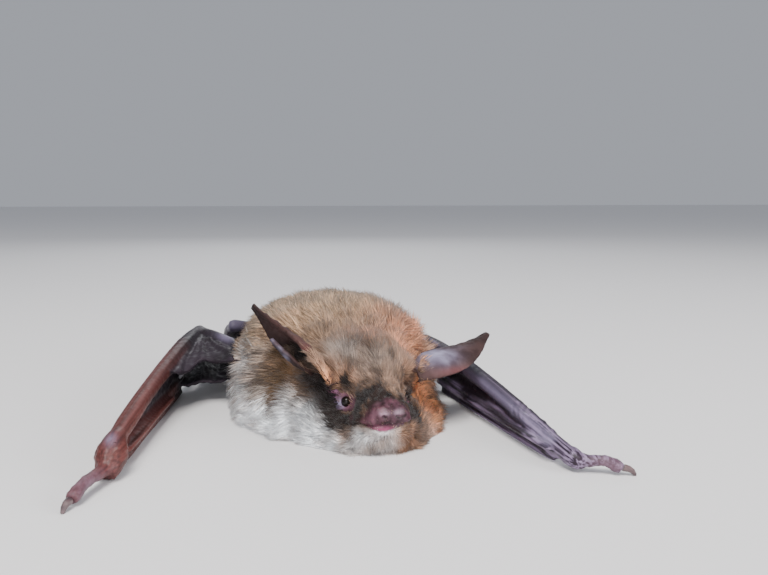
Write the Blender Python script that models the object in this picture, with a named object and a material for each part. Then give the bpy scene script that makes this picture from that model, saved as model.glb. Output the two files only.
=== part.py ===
"""A mouse-eared bat at rest on a flat floor, life size, as a still museum model.

The bat faces -Y with its right side at -X, and the floor is z = 0. It crouches on its belly: the
elbows are drawn back beside the flanks, the forearms reach forward past the head, the wings are
folded under the forearms, and the feet and the tail lie behind. The right arm reaches further
out than the left one. The furred solids run out to the tips of the coat.

Every size below is in millimetres. Meshes are scaled to metres as they are made.
"""

import math
from bisect import bisect_right

import bmesh
import bpy
from mathutils import Vector

MM = 0.001
GAP = 0.3  # space kept between neighbouring pieces
FLOOR = 0.0
SIDES = ("right", "left")

# ---- driving sizes: the furred body ----------------------------------------------------------
BODY_SIDES = 34  # corners of one cross-section
TOP_POWER = 2.3  # how square the upper half of a section is
BOTTOM_POWER = 5.0  # the belly is squarer, since it is pressed on the floor
LOW_LEVEL, MIDDLE_LEVEL, HIGH_LEVEL = 1.5, 5.0, 9.5  # heights where the half-widths are stated
BODY_STATIONS = (
    # y, centre x, half-width low, middle, high, bottom z, top z
    (-25.4, 0.45, 0.7, 0.9, 0.7, 4.3, 5.4),  # nose tip
    (-25.0, 0.45, 1.5, 1.9, 1.6, 3.5, 6.0),
    (-24.2, 0.45, 1.9, 2.6, 2.2, 1.6, 6.4),
    (-23.2, 0.40, 3.2, 2.9, 2.5, -0.6, 6.8),  # chin fur meets the floor
    (-22.0, 0.40, 4.9, 3.1, 2.8, -1.6, 7.2),
    (-20.5, 0.35, 6.5, 3.3, 3.4, -2.0, 8.4),
    (-19.0, 0.20, 8.0, 3.9, 4.6, -2.0, 10.2),  # eyes and brow
    (-17.2, 0.00, 9.5, 4.8, 6.1, -2.0, 12.0),
    (-15.2, -0.40, 11.1, 6.2, 7.6, -2.0, 13.0),  # crown
    (-13.2, -0.80, 12.2, 7.9, 8.8, -2.0, 13.2),
    (-11.0, -1.10, 13.1, 10.2, 10.2, -2.0, 13.9),  # nape
    (-8.0, -1.20, 13.9, 12.8, 11.9, -2.0, 15.3),
    (-4.0, -1.20, 14.5, 13.8, 13.0, -2.0, 16.3),
    (2.0, -1.20, 14.3, 13.8, 13.0, -2.0, 16.4),  # highest point of the back
    (8.0, -0.90, 13.0, 12.8, 12.2, -2.0, 15.5),
    (14.0, -0.50, 11.1, 10.9, 10.2, -1.8, 13.6),
    (19.0, -0.20, 8.7, 8.3, 7.6, -1.2, 11.0),
    (22.5, 0.00, 5.9, 5.7, 5.0, 0.2, 8.4),
    (24.6, 0.00, 3.1, 3.1, 2.6, 1.8, 6.2),
    (25.4, 0.00, 0.8, 0.8, 0.8, 3.2, 5.0),  # rump
)
FACE_RING_SPACING, CROWN_RING_SPACING, TRUNK_RING_SPACING = 0.6, 1.4, 3.1
FACE_ENDS, CROWN_ENDS = -18.0, -11.5

# The body is parted by slanted cuts, given as outlines in the Y-Z plane.
OUTSIDE = 40.0  # beyond the body on every side
HEAD_REGION = ((-OUTSIDE, -2.0), (-15.5, -2.0), (-11.4, 20.0), (-OUTSIDE, 20.0))
NECK_REGION = ((-15.2, -2.0), (-10.3, -2.0), (-8.2, 20.0), (-11.1, 20.0))
TRUNK_REGION = ((-10.0, -2.0), (OUTSIDE, -2.0), (OUTSIDE, 20.0), (-7.9, 20.0))

# ---- the face ---------------------------------------------------------------------------------
FACE_CENTRE_X = 0.4
EYES = {"right": (-3.2, -18.8, 5.2), "left": (4.0, -18.8, 5.2)}
EYE_RADIUS = 0.62
NOSTRILS = {"right": (-0.25, -25.2, 4.7), "left": (1.15, -25.2, 4.7)}
NOSE_GLANDS = {"right": (-2.6, -22.4, 5.3), "left": (3.4, -22.4, 5.3)}
MOUTH_HEIGHT_FRONT, MOUTH_HEIGHT_BACK = 3.35, 3.0
JAW_HALF_WIDTH_FRONT, JAW_HALF_WIDTH_BACK = 2.9, 4.4
JAW_BACK = -18.4

# ---- ears: root, tip, the way the hollow side faces, rise of the tip ----------------------------
EAR = {
    "right": {
        "root": (-5.4, -17.2, 5.6),
        "tip": (-13.3, -9.8, 15.6),
        "hollow": (-0.83, -0.38, -0.41),
        "lift": 0.3,
        "half_width": 4.1,
        "taper": 0.5,
    },
    "left": {
        "root": (5.3, -16.0, 6.9),
        "tip": (18.8, -10.4, 7.9),
        "hollow": (0.07, 0.05, -0.99),
        "lift": 2.8,
        "half_width": 3.7,
        "taper": 0.1,
    },
}
EAR_TIP_HALF_WIDTH = 0.5
EAR_THICKNESS = 0.55
EAR_ROOT_BEND, EAR_TIP_BEND = 74.0, 34.0  # half the arc that a cross-section turns, in degrees
TRAGUS_LENGTH, TRAGUS_HALF_WIDTH = 7.0, 0.85

# ---- arms and folded wings ----------------------------------------------------------------------
ARM = {
    "right": {
        "shoulder": (-9.0, -6.0, 6.2),
        "elbow": (-19.1, 16.2, 8.5),
        "web_root": (-12.8, -3.8, 7.0),
        "wrist": (-29.2, -20.6, 3.5),
        "palm": (-29.8, -23.2, 1.35),
        "thumb_tip": (-32.5, -28.9, 0.9),
        "bundle_wrist": (-28.9, -19.6, 1.28),
        "bundle_end": (-21.6, 12.4, 1.5),
    },
    "left": {
        "shoulder": (8.0, -9.0, 6.8),
        "elbow": (15.6, 6.6, 7.0),
        "web_root": (11.6, -6.0, 7.2),
        "wrist": (18.2, -32.6, 1.7),
        "palm": (18.8, -34.6, 1.15),
        "thumb_tip": (22.4, -36.4, 0.9),
        "bundle_wrist": (17.6, -31.6, 1.28),
        "bundle_end": (15.9, 3.0, 1.28),
    },
}
UPPER_ARM_RADII = (1.5, 1.2, 0.95, 0.95)
FOREARM_RADII = (1.0, 1.3, 1.22, 1.12, 1.08, 1.12)
WRIST_RADII = {"right": (1.3, 1.8, 1.4), "left": (1.1, 1.25, 1.0)}
THUMB_RADII = (0.85, 0.68, 0.64, 0.78)
CLAW_LENGTH = 1.2
FINGER_RADIUS = 0.33
FINGER_PITCH = 0.95  # from one folded finger to the next
# finger: how far its knuckle lies along the bundle, length folded back, column and row in the bundle
FINGERS = {
    2: (0.62, 0.0, -1, 1.6),
    3: (1.0, 17.0, 0, 2),
    4: (0.95, 14.0, 0, 1),
    5: (0.9, 11.0, 0, 0),
}
MEMBRANE = 0.55

# ---- hind limbs and tail ------------------------------------------------------------------------
LEG = {
    "right": {
        "hip": (-5.0, 18.0, 6.0),
        "knee": (-13.8, 17.8, 8.7),
        "ankle": (-14.6, 33.0, 1.7),
        "toes": (-17.4, 38.2, 0.5),
        "spur": (-8.2, 46.0, 0.6),
    },
    "left": {
        "hip": (5.0, 18.0, 6.0),
        "knee": (13.4, 18.4, 8.2),
        "ankle": (13.9, 33.6, 1.7),
        "toes": (16.2, 39.0, 0.5),
        "spur": (11.2, 47.5, 0.6),
    },
}
THIGH_RADII = (1.6, 1.35, 0.9, 1.25)
SHIN_RADII = (0.95, 1.0, 0.75, 0.65, 0.7)
TOE_LENGTH, TOE_RADIUS, TOE_COUNT, TOE_SPREAD = 3.6, 0.36, 5, 34.0
TAIL_ROUTE = ((0.0, 22.0, 4.2), (0.1, 27.0, 2.2), (0.6, 35.0, 1.1), (1.8, 45.0, 0.6), (4.4, 57.0, 0.33))
TAIL_RADII = (1.5, 1.15, 0.85, 0.62, 0.34)

COLOURS = {  # base colour, roughness
    "fur": ((0.36, 0.27, 0.18), 0.9),
    "ear": ((0.16, 0.10, 0.09), 0.5),
    "eye": ((0.005, 0.005, 0.007), 0.05),
    "wing_skin": ((0.10, 0.035, 0.025), 0.4),
    "membrane": ((0.035, 0.02, 0.02), 0.5),
    "claw": ((0.20, 0.13, 0.10), 0.3),
}


# ---- curves ---------------------------------------------------------------------------------------
def read_stations(stations, key):
    """The columns of a table at one value of its first column, on a smooth curve through its rows."""
    keys = [row[0] for row in stations]
    last = len(keys) - 1
    i = min(max(bisect_right(keys, key) - 1, 0), last - 1)
    span = keys[i + 1] - keys[i]
    t = min(max((key - keys[i]) / span, 0.0), 1.0)

    def slope(j, column):
        a, b = max(j - 1, 0), min(j + 1, last)
        return (stations[b][column] - stations[a][column]) / (keys[b] - keys[a])

    values = []
    for column in range(1, len(stations[0])):
        start, end = stations[i][column], stations[i + 1][column]
        leave, arrive = slope(i, column) * span, slope(i + 1, column) * span
        values.append(
            (2 * t**3 - 3 * t**2 + 1) * start
            + (t**3 - 2 * t**2 + t) * leave
            + (3 * t**2 - 2 * t**3) * end
            + (t**3 - t**2) * arrive
        )
    return values


def along(route, share):
    """The point at a share of the way through a route's own points."""
    rows = [(i / (len(route) - 1), *point) for i, point in enumerate(route)]
    return Vector(read_stations(rows, share))


def number_along(values, share):
    rows = [(i / (len(values) - 1), value) for i, value in enumerate(values)]
    return read_stations(rows, share)[0]


def smoothstep(low, high, value):
    t = min(max((value - low) / (high - low), 0.0), 1.0)
    return t * t * (3 - 2 * t)


def spread(low, high, spacing):
    """Evenly spaced values from low to high, both included."""
    count = max(1, round((high - low) / spacing))
    return [low + (high - low) * i / count for i in range(count + 1)]


# ---- meshes ---------------------------------------------------------------------------------------
def material(kind):
    made = bpy.data.materials.new(kind)
    made.use_nodes = True
    shader = made.node_tree.nodes["Principled BSDF"]
    colour, roughness = COLOURS[kind]
    shader.inputs["Base Color"].default_value = (*colour, 1.0)
    shader.inputs["Roughness"].default_value = roughness
    made.diffuse_color = (*colour, 1.0)
    return made


def object_from(name, points, faces, kind=None):
    """A closed object from points in millimetres, faces turned outward, with nothing under the floor."""
    mesh = bpy.data.meshes.new(name)
    made = bmesh.new()
    corners = [made.verts.new((p[0] * MM, p[1] * MM, max(p[2], FLOOR) * MM)) for p in points]
    for face in faces:
        made.faces.new([corners[i] for i in face])
    bmesh.ops.recalc_face_normals(made, faces=made.faces)
    made.to_mesh(mesh)
    made.free()
    obj = bpy.data.objects.new(name, mesh)
    bpy.context.collection.objects.link(obj)
    if kind:
        mesh.materials.append(material(kind))
        mesh.shade_smooth()
    return obj


def skin_rings(rings):
    """Points and faces of a closed form through rings of equal length, each end closed by a fan."""
    sides = len(rings[0])
    points = [p for ring in rings for p in ring]
    faces = []
    for r in range(len(rings) - 1):
        for k in range(sides):
            a, b = r * sides + k, r * sides + (k + 1) % sides
            faces.append((a, b, b + sides, a + sides))
    for ring, turn in ((0, 1), (len(rings) - 1, -1)):
        points.append(tuple(sum((Vector(p) for p in rings[ring]), Vector()) / sides))
        hub = len(points) - 1
        for k in range(sides):
            faces.append((ring * sides + k, ring * sides + (k + turn) % sides, hub))
    return points, faces


def tube_rings(points, radii, sides, flat=1.0):
    """Rings about a line of points, with round ends. Flat squeezes them upward."""
    made = []
    end_share = 0.62
    end_radius = math.sqrt(1 - end_share**2)
    lines = [(b - a).normalized() for a, b in zip(points, points[1:])]
    tangents = [lines[0]] + [(a + b).normalized() for a, b in zip(lines, lines[1:])] + [lines[-1]]
    stops = list(zip(points, tangents, radii))
    stops.insert(0, (points[0] - lines[0] * radii[0] * end_share, lines[0], radii[0] * end_radius))
    stops.append((points[-1] + lines[-1] * radii[-1] * end_share, lines[-1], radii[-1] * end_radius))
    up = (0.0, 0.0, 1.0)
    for centre, tangent, radius in stops:
        across = tangent.cross(Vector(up)).normalized()
        rise = across.cross(tangent).normalized()
        ring = []
        for k in range(sides):
            angle = 2 * math.pi * (k + 0.5) / sides
            offset = across * math.cos(angle) + rise * (math.sin(angle) * flat)
            ring.append(tuple(centre + offset * radius))
        made.append(ring)
    return made


def tube(name, route, radii, kind=None, sides=8, rings=None, flat=1.0):
    """A round form along a route: through its own points, or smoothed to a number of rings."""
    if rings:
        shares = [i / (rings - 1) for i in range(rings)]
        radii = [number_along(radii, share) for share in shares]
        points = [along(route, share) for share in shares]
    else:
        points = [Vector(point) for point in route]
    return object_from(name, *skin_rings(tube_rings(points, radii, sides, flat)), kind)


def sheet(name, surface, long_steps, cross_steps, thickness, kind):
    """A closed thin sheet about a surface given as a function of two shares, 0 to 1."""
    grid = {}
    step = 0.01
    for i in range(long_steps + 1):
        for j in range(cross_steps + 1):
            u, v = i / long_steps, j / cross_steps
            along_u = surface(min(u + step, 1), v) - surface(max(u - step, 0), v)
            along_v = surface(u, min(v + step, 1)) - surface(u, max(v - step, 0))
            normal = along_u.cross(along_v).normalized()
            middle = surface(u, v)
            grid[i, j, 0] = middle - normal * thickness / 2
            grid[i, j, 1] = middle + normal * thickness / 2
    order = {key: n for n, key in enumerate(grid)}
    faces = []
    for i in range(long_steps):
        for j in range(cross_steps):
            for layer in (0, 1):
                corners = ((i, j), (i + 1, j), (i + 1, j + 1), (i, j + 1))
                faces.append(tuple(order[a, b, layer] for a, b in corners))
    border = [(i, 0) for i in range(long_steps)]
    border += [(long_steps, j) for j in range(cross_steps)]
    border += [(i, cross_steps) for i in range(long_steps, 0, -1)]
    border += [(0, j) for j in range(cross_steps, 0, -1)]
    for (a, b), (c, d) in zip(border, border[1:] + border[:1]):
        faces.append((order[a, b, 0], order[c, d, 0], order[c, d, 1], order[a, b, 1]))
    return object_from(name, [tuple(p) for p in grid.values()], faces, kind)


def prism(name, outline, half_width):
    """A block between two planes of constant x, with its outline given in the Y-Z plane."""
    count = len(outline)
    points = [(x, y, z) for x in (-half_width, half_width) for y, z in outline]
    faces = [tuple(range(count)), tuple(range(count, 2 * count))]
    faces += [(k, (k + 1) % count, count + (k + 1) % count, count + k) for k in range(count)]
    return cutter_from(name, points, faces)


def cutter_from(name, points, faces):
    """A cutter may reach under the floor, so its points are kept as given."""
    mesh = bpy.data.meshes.new(name)
    mesh.from_pydata([tuple(c * MM for c in p) for p in points], [], faces)
    obj = bpy.data.objects.new(name, mesh)
    bpy.context.collection.objects.link(obj)
    turn_outward(mesh)
    return obj


def turn_outward(mesh):
    made = bmesh.new()
    made.from_mesh(mesh)
    bmesh.ops.recalc_face_normals(made, faces=made.faces)
    made.to_mesh(mesh)
    made.free()


# ---- fitting pieces to each other -----------------------------------------------------------------
def grown(obj, by):
    """A copy of a piece whose surface stands further out."""
    copy = bpy.data.objects.new(obj.name + "_grown", obj.data.copy())
    bpy.context.collection.objects.link(copy)
    made = bmesh.new()
    made.from_mesh(copy.data)
    made.normal_update()
    moves = [v.normal * by * MM for v in made.verts]
    for vert, move in zip(made.verts, moves):
        vert.co += move
    made.to_mesh(copy.data)
    made.free()
    return copy


def combine(obj, other, operation):
    """Runs one exact Boolean, keeps the largest body, and removes the other object."""
    modifier = obj.modifiers.new("combine", "BOOLEAN")
    modifier.operation = operation
    modifier.solver = "EXACT"
    modifier.use_self = True
    modifier.object = other
    evaluated = obj.evaluated_get(bpy.context.evaluated_depsgraph_get())
    mesh = bpy.data.meshes.new_from_object(evaluated)
    obj.modifiers.clear()
    obj.data = mesh
    bpy.data.objects.remove(other)
    keep_largest_body(mesh)


def keep_largest_body(mesh):
    """Drops the crumbs that a cut can leave beside the main piece."""
    made = bmesh.new()
    made.from_mesh(mesh)
    left = set(made.faces)
    bodies = []
    while left:
        body, edge = set(), [left.pop()]
        while edge:
            face = edge.pop()
            body.add(face)
            near = {other for e in face.edges if len(e.link_faces) == 2 for other in e.link_faces} & left
            left -= near
            edge.extend(near)
        bodies.append(body)
    main = max(bodies, key=lambda body: sum(face.calc_area() for face in body))
    bmesh.ops.delete(made, geom=[face for face in made.faces if face not in main], context="FACES")
    loose = [vert for vert in made.verts if not vert.link_faces]
    bmesh.ops.delete(made, geom=loose, context="VERTS")
    made.to_mesh(mesh)
    made.free()


def make_room(obj, *neighbours, gap=GAP):
    """Cuts a piece back until it is clear of its neighbours."""
    for neighbour in neighbours:
        combine(obj, grown(neighbour, gap), "DIFFERENCE")


# ---- body -----------------------------------------------------------------------------------------
def half_width_at(height, low, middle, high):
    if height < MIDDLE_LEVEL:
        return low + (middle - low) * smoothstep(LOW_LEVEL, MIDDLE_LEVEL, height)
    return middle + (high - middle) * smoothstep(MIDDLE_LEVEL, HIGH_LEVEL, height)


def body_ring(y):
    centre_x, low, middle, high, bottom, top = read_stations(BODY_STATIONS, y)
    centre_z, half_height = (bottom + top) / 2, (top - bottom) / 2
    ring = []
    for k in range(BODY_SIDES):
        angle = 2 * math.pi * (k + 0.5) / BODY_SIDES
        cosine, sine = math.cos(angle), math.sin(angle)
        power = 2 / (TOP_POWER if sine > 0 else BOTTOM_POWER)
        z = max(centre_z + half_height * math.copysign(abs(sine) ** power, sine), FLOOR)
        reach = half_width_at(z, low, middle, high)
        x = centre_x + reach * math.copysign(abs(cosine) ** power, cosine)
        ring.append(face_relief(Vector((x, y, z))))
    return ring


def nearness(point, place, radius):
    return math.exp(-((point - Vector(place)).length / radius) ** 2)


def face_relief(point):
    """Hollows the eyes and nostrils and raises the glands beside the nose."""
    moved = Vector(point)
    for side in SIDES:
        inward = 1.0 if side == "right" else -1.0
        moved.x += inward * 0.45 * nearness(point, EYES[side], 1.3)
        moved.x -= inward * 0.45 * nearness(point, NOSE_GLANDS[side], 1.2)
        moved.y += 0.35 * nearness(point, NOSTRILS[side], 0.5)
    return tuple(moved)


def whole_body(name):
    levels = spread(BODY_STATIONS[0][0], FACE_ENDS, FACE_RING_SPACING)
    levels += spread(FACE_ENDS, CROWN_ENDS, CROWN_RING_SPACING)[1:]
    levels += spread(CROWN_ENDS, BODY_STATIONS[-1][0], TRUNK_RING_SPACING)[1:]
    return object_from(name, *skin_rings([body_ring(y) for y in levels]), "fur")


def jaw_wedge(name, margin):
    """The block that holds the lower jaw and the chin: under the mouth line, between the cheeks."""
    back, front = JAW_BACK + margin, BODY_STATIONS[0][0] - 2.0
    points = []
    for z_front, z_back in ((-3.0, -3.0), (MOUTH_HEIGHT_FRONT + margin, MOUTH_HEIGHT_BACK + margin)):
        for y, half, z in (
            (front, JAW_HALF_WIDTH_FRONT + margin, z_front),
            (back, JAW_HALF_WIDTH_BACK + margin, z_back),
        ):
            points += [(FACE_CENTRE_X - half, y, z), (FACE_CENTRE_X + half, y, z)]
    faces = [(0, 1, 3, 2), (4, 5, 7, 6), (0, 1, 5, 4), (2, 3, 7, 6), (0, 2, 6, 4), (1, 3, 7, 5)]
    return cutter_from(name, points, faces)


def ball(name, centre, radius, kind=None, sides=12, rings=7):
    mesh = bpy.data.meshes.new(name)
    made = bmesh.new()
    bmesh.ops.create_uvsphere(made, u_segments=sides, v_segments=rings, radius=radius * MM)
    bmesh.ops.translate(made, verts=made.verts, vec=Vector(centre) * MM)
    made.to_mesh(mesh)
    made.free()
    obj = bpy.data.objects.new(name, mesh)
    bpy.context.collection.objects.link(obj)
    if kind:
        mesh.materials.append(material(kind))
        mesh.shade_smooth()
    return obj


def make_body():
    """Trunk, neck, head, lower jaw and eyes."""
    regions = {"head": HEAD_REGION, "neck": NECK_REGION, "trunk": TRUNK_REGION}
    made = {}
    for name, region in regions.items():
        made[name] = whole_body(name)
        combine(made[name], prism(name + "_region", region, OUTSIDE), "INTERSECT")
    made["lower_jaw"] = whole_body("lower_jaw")
    combine(made["lower_jaw"], jaw_wedge("jaw_region", 0.0), "INTERSECT")
    combine(made["head"], jaw_wedge("jaw_room", GAP), "DIFFERENCE")
    for side in SIDES:
        combine(made["head"], ball("socket", EYES[side], EYE_RADIUS + GAP), "DIFFERENCE")
        made["eye_" + side] = ball("eye_" + side, EYES[side], EYE_RADIUS, "eye")
    return made


# ---- ears -----------------------------------------------------------------------------------------
def ear_frame(side):
    root, tip = Vector(EAR[side]["root"]), Vector(EAR[side]["tip"])
    axis = (tip - root).normalized()
    hollow = Vector(EAR[side]["hollow"])
    hollow = (hollow - axis * hollow.dot(axis)).normalized()
    return root, tip, axis, hollow, axis.cross(hollow)


def ear_surface(side):
    root, tip, _, hollow, across = ear_frame(side)
    lift = Vector((0.0, 0.0, EAR[side]["lift"]))

    def surface(u, v):
        full = EAR[side]["half_width"] * max(math.sin(math.pi * (0.2 + 0.8 * u)), 0.0) ** 0.8
        half = max(full * (1.0 - EAR[side]["taper"] * u * u), EAR_TIP_HALF_WIDTH)
        bend = math.radians(EAR_ROOT_BEND + (EAR_TIP_BEND - EAR_ROOT_BEND) * u)
        angle = bend * (2 * v - 1)
        radius = half / math.sin(bend)
        centre = root + (tip - root) * u + lift * u**3
        cup = hollow * (radius * (math.cos(bend) - math.cos(angle)))
        return centre + across * (radius * math.sin(angle)) + cup

    return surface


def tragus_surface(side):
    root, tip, axis, hollow, across = ear_frame(side)
    start = root + axis * 3.0 - hollow * 0.2

    def surface(u, v):
        half = TRAGUS_HALF_WIDTH * (1.0 - 0.75 * u**1.5)
        curve = hollow * (0.9 * math.sin(math.pi * 0.5 * u))
        return start + axis * (TRAGUS_LENGTH * u) + curve + across * (half * (2 * v - 1))

    return surface


def make_ears(head, neck, trunk):
    made = {}
    for side in SIDES:
        ear = sheet("ear_" + side, ear_surface(side), 10, 7, EAR_THICKNESS, "ear")
        tragus = sheet("tragus_" + side, tragus_surface(side), 6, 2, EAR_THICKNESS, "ear")
        make_room(tragus, ear, head, neck)
        make_room(ear, head, neck, trunk)
        made[ear.name], made[tragus.name] = ear, tragus
    return made


# ---- arms -----------------------------------------------------------------------------------------
def bowed(start, end, bow):
    """A route between two points that bows by a vector at its middle."""
    middle = (Vector(start) + Vector(end)) / 2 + Vector(bow)
    quarter = (Vector(start) + middle) / 2 + Vector(bow) * 0.25
    rest = (Vector(end) + middle) / 2 + Vector(bow) * 0.25
    return (tuple(start), tuple(quarter), tuple(middle), tuple(rest), tuple(end))


def forearm_route(side):
    outward = -0.5 if side == "right" else 0.5
    return bowed(ARM[side]["elbow"], ARM[side]["wrist"], (outward, 0.0, 0.35))


def upper_arm_route(side):
    return bowed(ARM[side]["shoulder"], ARM[side]["elbow"], (0.0, 0.0, 0.3))


def make_arm(side, trunk, neck):
    places = ARM[side]
    middle = tuple((Vector(places["wrist"]) + Vector(places["palm"])) / 2)
    wrist_route = (places["wrist"], middle, places["palm"])
    thumb_route = (places["palm"], *thumb_bend(side), places["thumb_tip"])
    arm_route, upper_route = forearm_route(side), upper_arm_route(side)
    skin = "wing_skin"
    wrist = tube("wrist_" + side, wrist_route, WRIST_RADII[side], skin, sides=10, rings=5)
    forearm = tube("forearm_" + side, arm_route, FOREARM_RADII, skin, sides=10, rings=10)
    upper_arm = tube("upper_arm_" + side, upper_route, UPPER_ARM_RADII, skin, sides=9, rings=6)
    thumb = tube("thumb_" + side, thumb_route, THUMB_RADII, skin, sides=8, rings=6)
    make_room(upper_arm, forearm, trunk, neck)
    make_room(forearm, wrist)
    make_room(thumb, wrist)
    claw = tube("thumb_claw_" + side, claw_route(side), (0.42, 0.34, 0.2), "claw", sides=6, rings=4)
    make_room(claw, thumb, gap=0.12)
    return {piece.name: piece for piece in (wrist, forearm, upper_arm, thumb, claw)}


def thumb_bend(side):
    start, end = Vector(ARM[side]["palm"]), Vector(ARM[side]["thumb_tip"])
    bend = ((0.4, 0.35), (0.75, 0.45))  # share of the way, rise above the straight line
    return tuple(tuple(start.lerp(end, share) + Vector((0, 0, rise))) for share, rise in bend)


def claw_route(side):
    tip = Vector(ARM[side]["thumb_tip"])
    forward = (tip - Vector(ARM[side]["palm"])).normalized()
    first = tip + forward * 0.7 + Vector((0, 0, -0.05))
    second = first + forward * CLAW_LENGTH * 0.6 + Vector((0, 0, -0.15))
    last = second + forward * CLAW_LENGTH * 0.35 + Vector((0, 0, -0.45))
    return (tuple(first), tuple(second), tuple(last))


def bundle_point(side, share, column, row):
    """A place in the pack of folded fingers: column counts outward, row counts up."""
    start, end = Vector(ARM[side]["bundle_wrist"]), Vector(ARM[side]["bundle_end"])
    outward = -1.0 if side == "right" else 1.0
    sunk = Vector((outward * FINGER_PITCH * column, 0.0, FINGER_PITCH * (row - 1)))
    return start.lerp(end, share) + sunk


def finger_route(side, finger):
    """Out along the metacarpal, round the knuckle, and back along the finger bones folded beside it."""
    reach, folded, column, row = FINGERS[finger]
    length = (Vector(ARM[side]["bundle_end"]) - Vector(ARM[side]["bundle_wrist"])).length
    route = [bundle_point(side, share * reach, column, row) for share in (0.0, 0.33, 0.67, 1.0)]
    if folded:
        turn = FINGER_PITCH / 2 / length
        for angle in (math.radians(45), math.radians(90), math.radians(135)):
            place = 0.5 - 0.5 * math.cos(angle)
            route.append(bundle_point(side, reach + turn * math.sin(angle), column + place, row))
        back = folded / length
        route += [bundle_point(side, reach - back * share, column + 1, row) for share in (0.0, 0.5, 1.0)]
    return route


def make_fingers(side, wrist, forearm):
    made = {}
    for finger in FINGERS:
        name = f"finger_{finger}_{side}"
        route = finger_route(side, finger)
        piece = tube(name, route, (FINGER_RADIUS,) * len(route), "wing_skin", sides=6)
        make_room(piece, wrist, forearm)
        made[name] = piece
    return made


# ---- wing membranes -------------------------------------------------------------------------------
def propatagium_surface(side):
    """The web in the crook of the elbow, fluted like a fan that opens from the elbow."""
    corner, root, fore = Vector(ARM[side]["elbow"]), Vector(ARM[side]["web_root"]), forearm_route(side)

    def surface(u, v):
        inner, outer = corner.lerp(root, 0.06 + 0.94 * u), along(fore, 0.03 + 0.57 * u)
        hollow = math.sin(math.pi * v)
        point = inner.lerp(outer, v).lerp(corner, 0.30 * u * hollow)
        point.z += 0.28 * math.sin(5 * math.pi * v) * u - 0.4 * hollow * u
        return point

    return surface


def hand_membrane_surface(side):
    """The pleated web that hangs from the forearm to the folded fingers."""
    fore = forearm_route(side)

    def surface(u, v):
        share = 0.14 + 0.74 * u
        top = along(fore, share) - Vector((0, 0, number_along(FOREARM_RADII, share) * 0.8))
        bottom = bundle_point(side, 1 - share, 0.4, 2.3)
        point = top.lerp(bottom, v)
        point.x += 0.35 * math.sin(3 * math.pi * v)
        return point

    return surface


# Edges of the web between arm and flank, as x and z at each of these y, from front to back.
ARM_MEMBRANE_Y = (3.3, 10.0, 17.5, 25.0, 31.0)
ARM_MEMBRANE_INNER = {
    "right": ((-14.2, 3.4), (-13.8, 3.8), (-13.2, 4.2), (-14.6, 3.0), (-15.8, 1.5)),
    "left": ((12.4, 3.0), (12.2, 3.4), (12.4, 4.0), (13.6, 3.0), (15.2, 1.5)),
}
ARM_MEMBRANE_OUTER = {
    "right": ((-22.4, 3.0), (-21.4, 3.8), (-20.2, 4.2), (-18.8, 2.2), (-17.2, 0.7)),
    "left": ((15.6, 3.0), (16.4, 3.6), (17.6, 4.0), (17.8, 2.2), (16.8, 0.7)),
}


def membrane_edge(edge):
    return [(x, y, z) for y, (x, z) in zip(ARM_MEMBRANE_Y, edge)]


def arm_membrane_surface(side):
    """The web between the arm and the flank, gathered in folds that run back to the ankle."""
    inner, outer = membrane_edge(ARM_MEMBRANE_INNER[side]), membrane_edge(ARM_MEMBRANE_OUTER[side])

    def surface(u, v):
        point = along(inner, u).lerp(along(outer, u), v)
        point.z += 0.45 * math.sin(4 * math.pi * v) * math.sin(math.pi * min(1.0, 0.15 + u))
        return point

    return surface


def make_membranes(side, made, legs):
    fingers = [made[f"finger_{finger}_{side}"] for finger in FINGERS]
    arm = [made[f"{bone}_{side}"] for bone in ("forearm", "upper_arm", "wrist")]
    body = [made["trunk"], made["neck"]]
    propatagium = sheet("propatagium_" + side, propatagium_surface(side), 5, 9, MEMBRANE, "membrane")
    hand = sheet("hand_membrane_" + side, hand_membrane_surface(side), 6, 3, MEMBRANE, "membrane")
    web = sheet("arm_membrane_" + side, arm_membrane_surface(side), 7, 8, MEMBRANE, "membrane")
    make_room(propatagium, *arm, *body)
    make_room(hand, *arm, *fingers, *body)
    make_room(web, *arm, *fingers, *body, hand, propatagium, *legs)
    return {piece.name: piece for piece in (propatagium, hand, web)}


# ---- legs and tail --------------------------------------------------------------------------------
def toe_route(side, index):
    """One toe with its claw: forward from the sole, arched, with the claw hooked down."""
    ankle, ball_of_foot = Vector(LEG[side]["ankle"]), Vector(LEG[side]["toes"])
    heading = Vector((ball_of_foot.x - ankle.x, ball_of_foot.y - ankle.y, 0)).normalized()
    sideways = Vector((heading.y, -heading.x, 0))
    place = index - (TOE_COUNT - 1) / 2
    turn = math.radians(TOE_SPREAD / (TOE_COUNT - 1) * place)
    direction = heading * math.cos(turn) + sideways * math.sin(turn)
    start = ball_of_foot + sideways * (place * 0.5) - heading * 0.6 + Vector((0, 0, 0.2))
    length = TOE_LENGTH * (1.0 - 0.08 * abs(place))
    shares = ((0.0, 0.1), (0.35, 0.55), (0.7, 0.25), (0.9, 0.3), (1.15, -0.15))
    return tuple(tuple(start + direction * (length * share) + Vector((0, 0, rise))) for share, rise in shares)


def make_foot(side):
    """The sole and five clawed toes as one piece."""
    ankle, ball_of_foot = LEG[side]["ankle"], LEG[side]["toes"]
    sole_route = bowed(ankle, (ball_of_foot[0], ball_of_foot[1], ball_of_foot[2] + 0.2), (0, 0, 0.1))
    foot = tube("foot_" + side, sole_route, (0.8, 0.95, 1.15), "wing_skin", sides=8, rings=4, flat=0.7)
    for index in range(TOE_COUNT):
        radii = (TOE_RADIUS, TOE_RADIUS, TOE_RADIUS * 0.95, TOE_RADIUS * 0.75, 0.16)
        combine(foot, tube("toe", toe_route(side, index), radii, sides=5), "UNION")
    return foot


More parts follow.
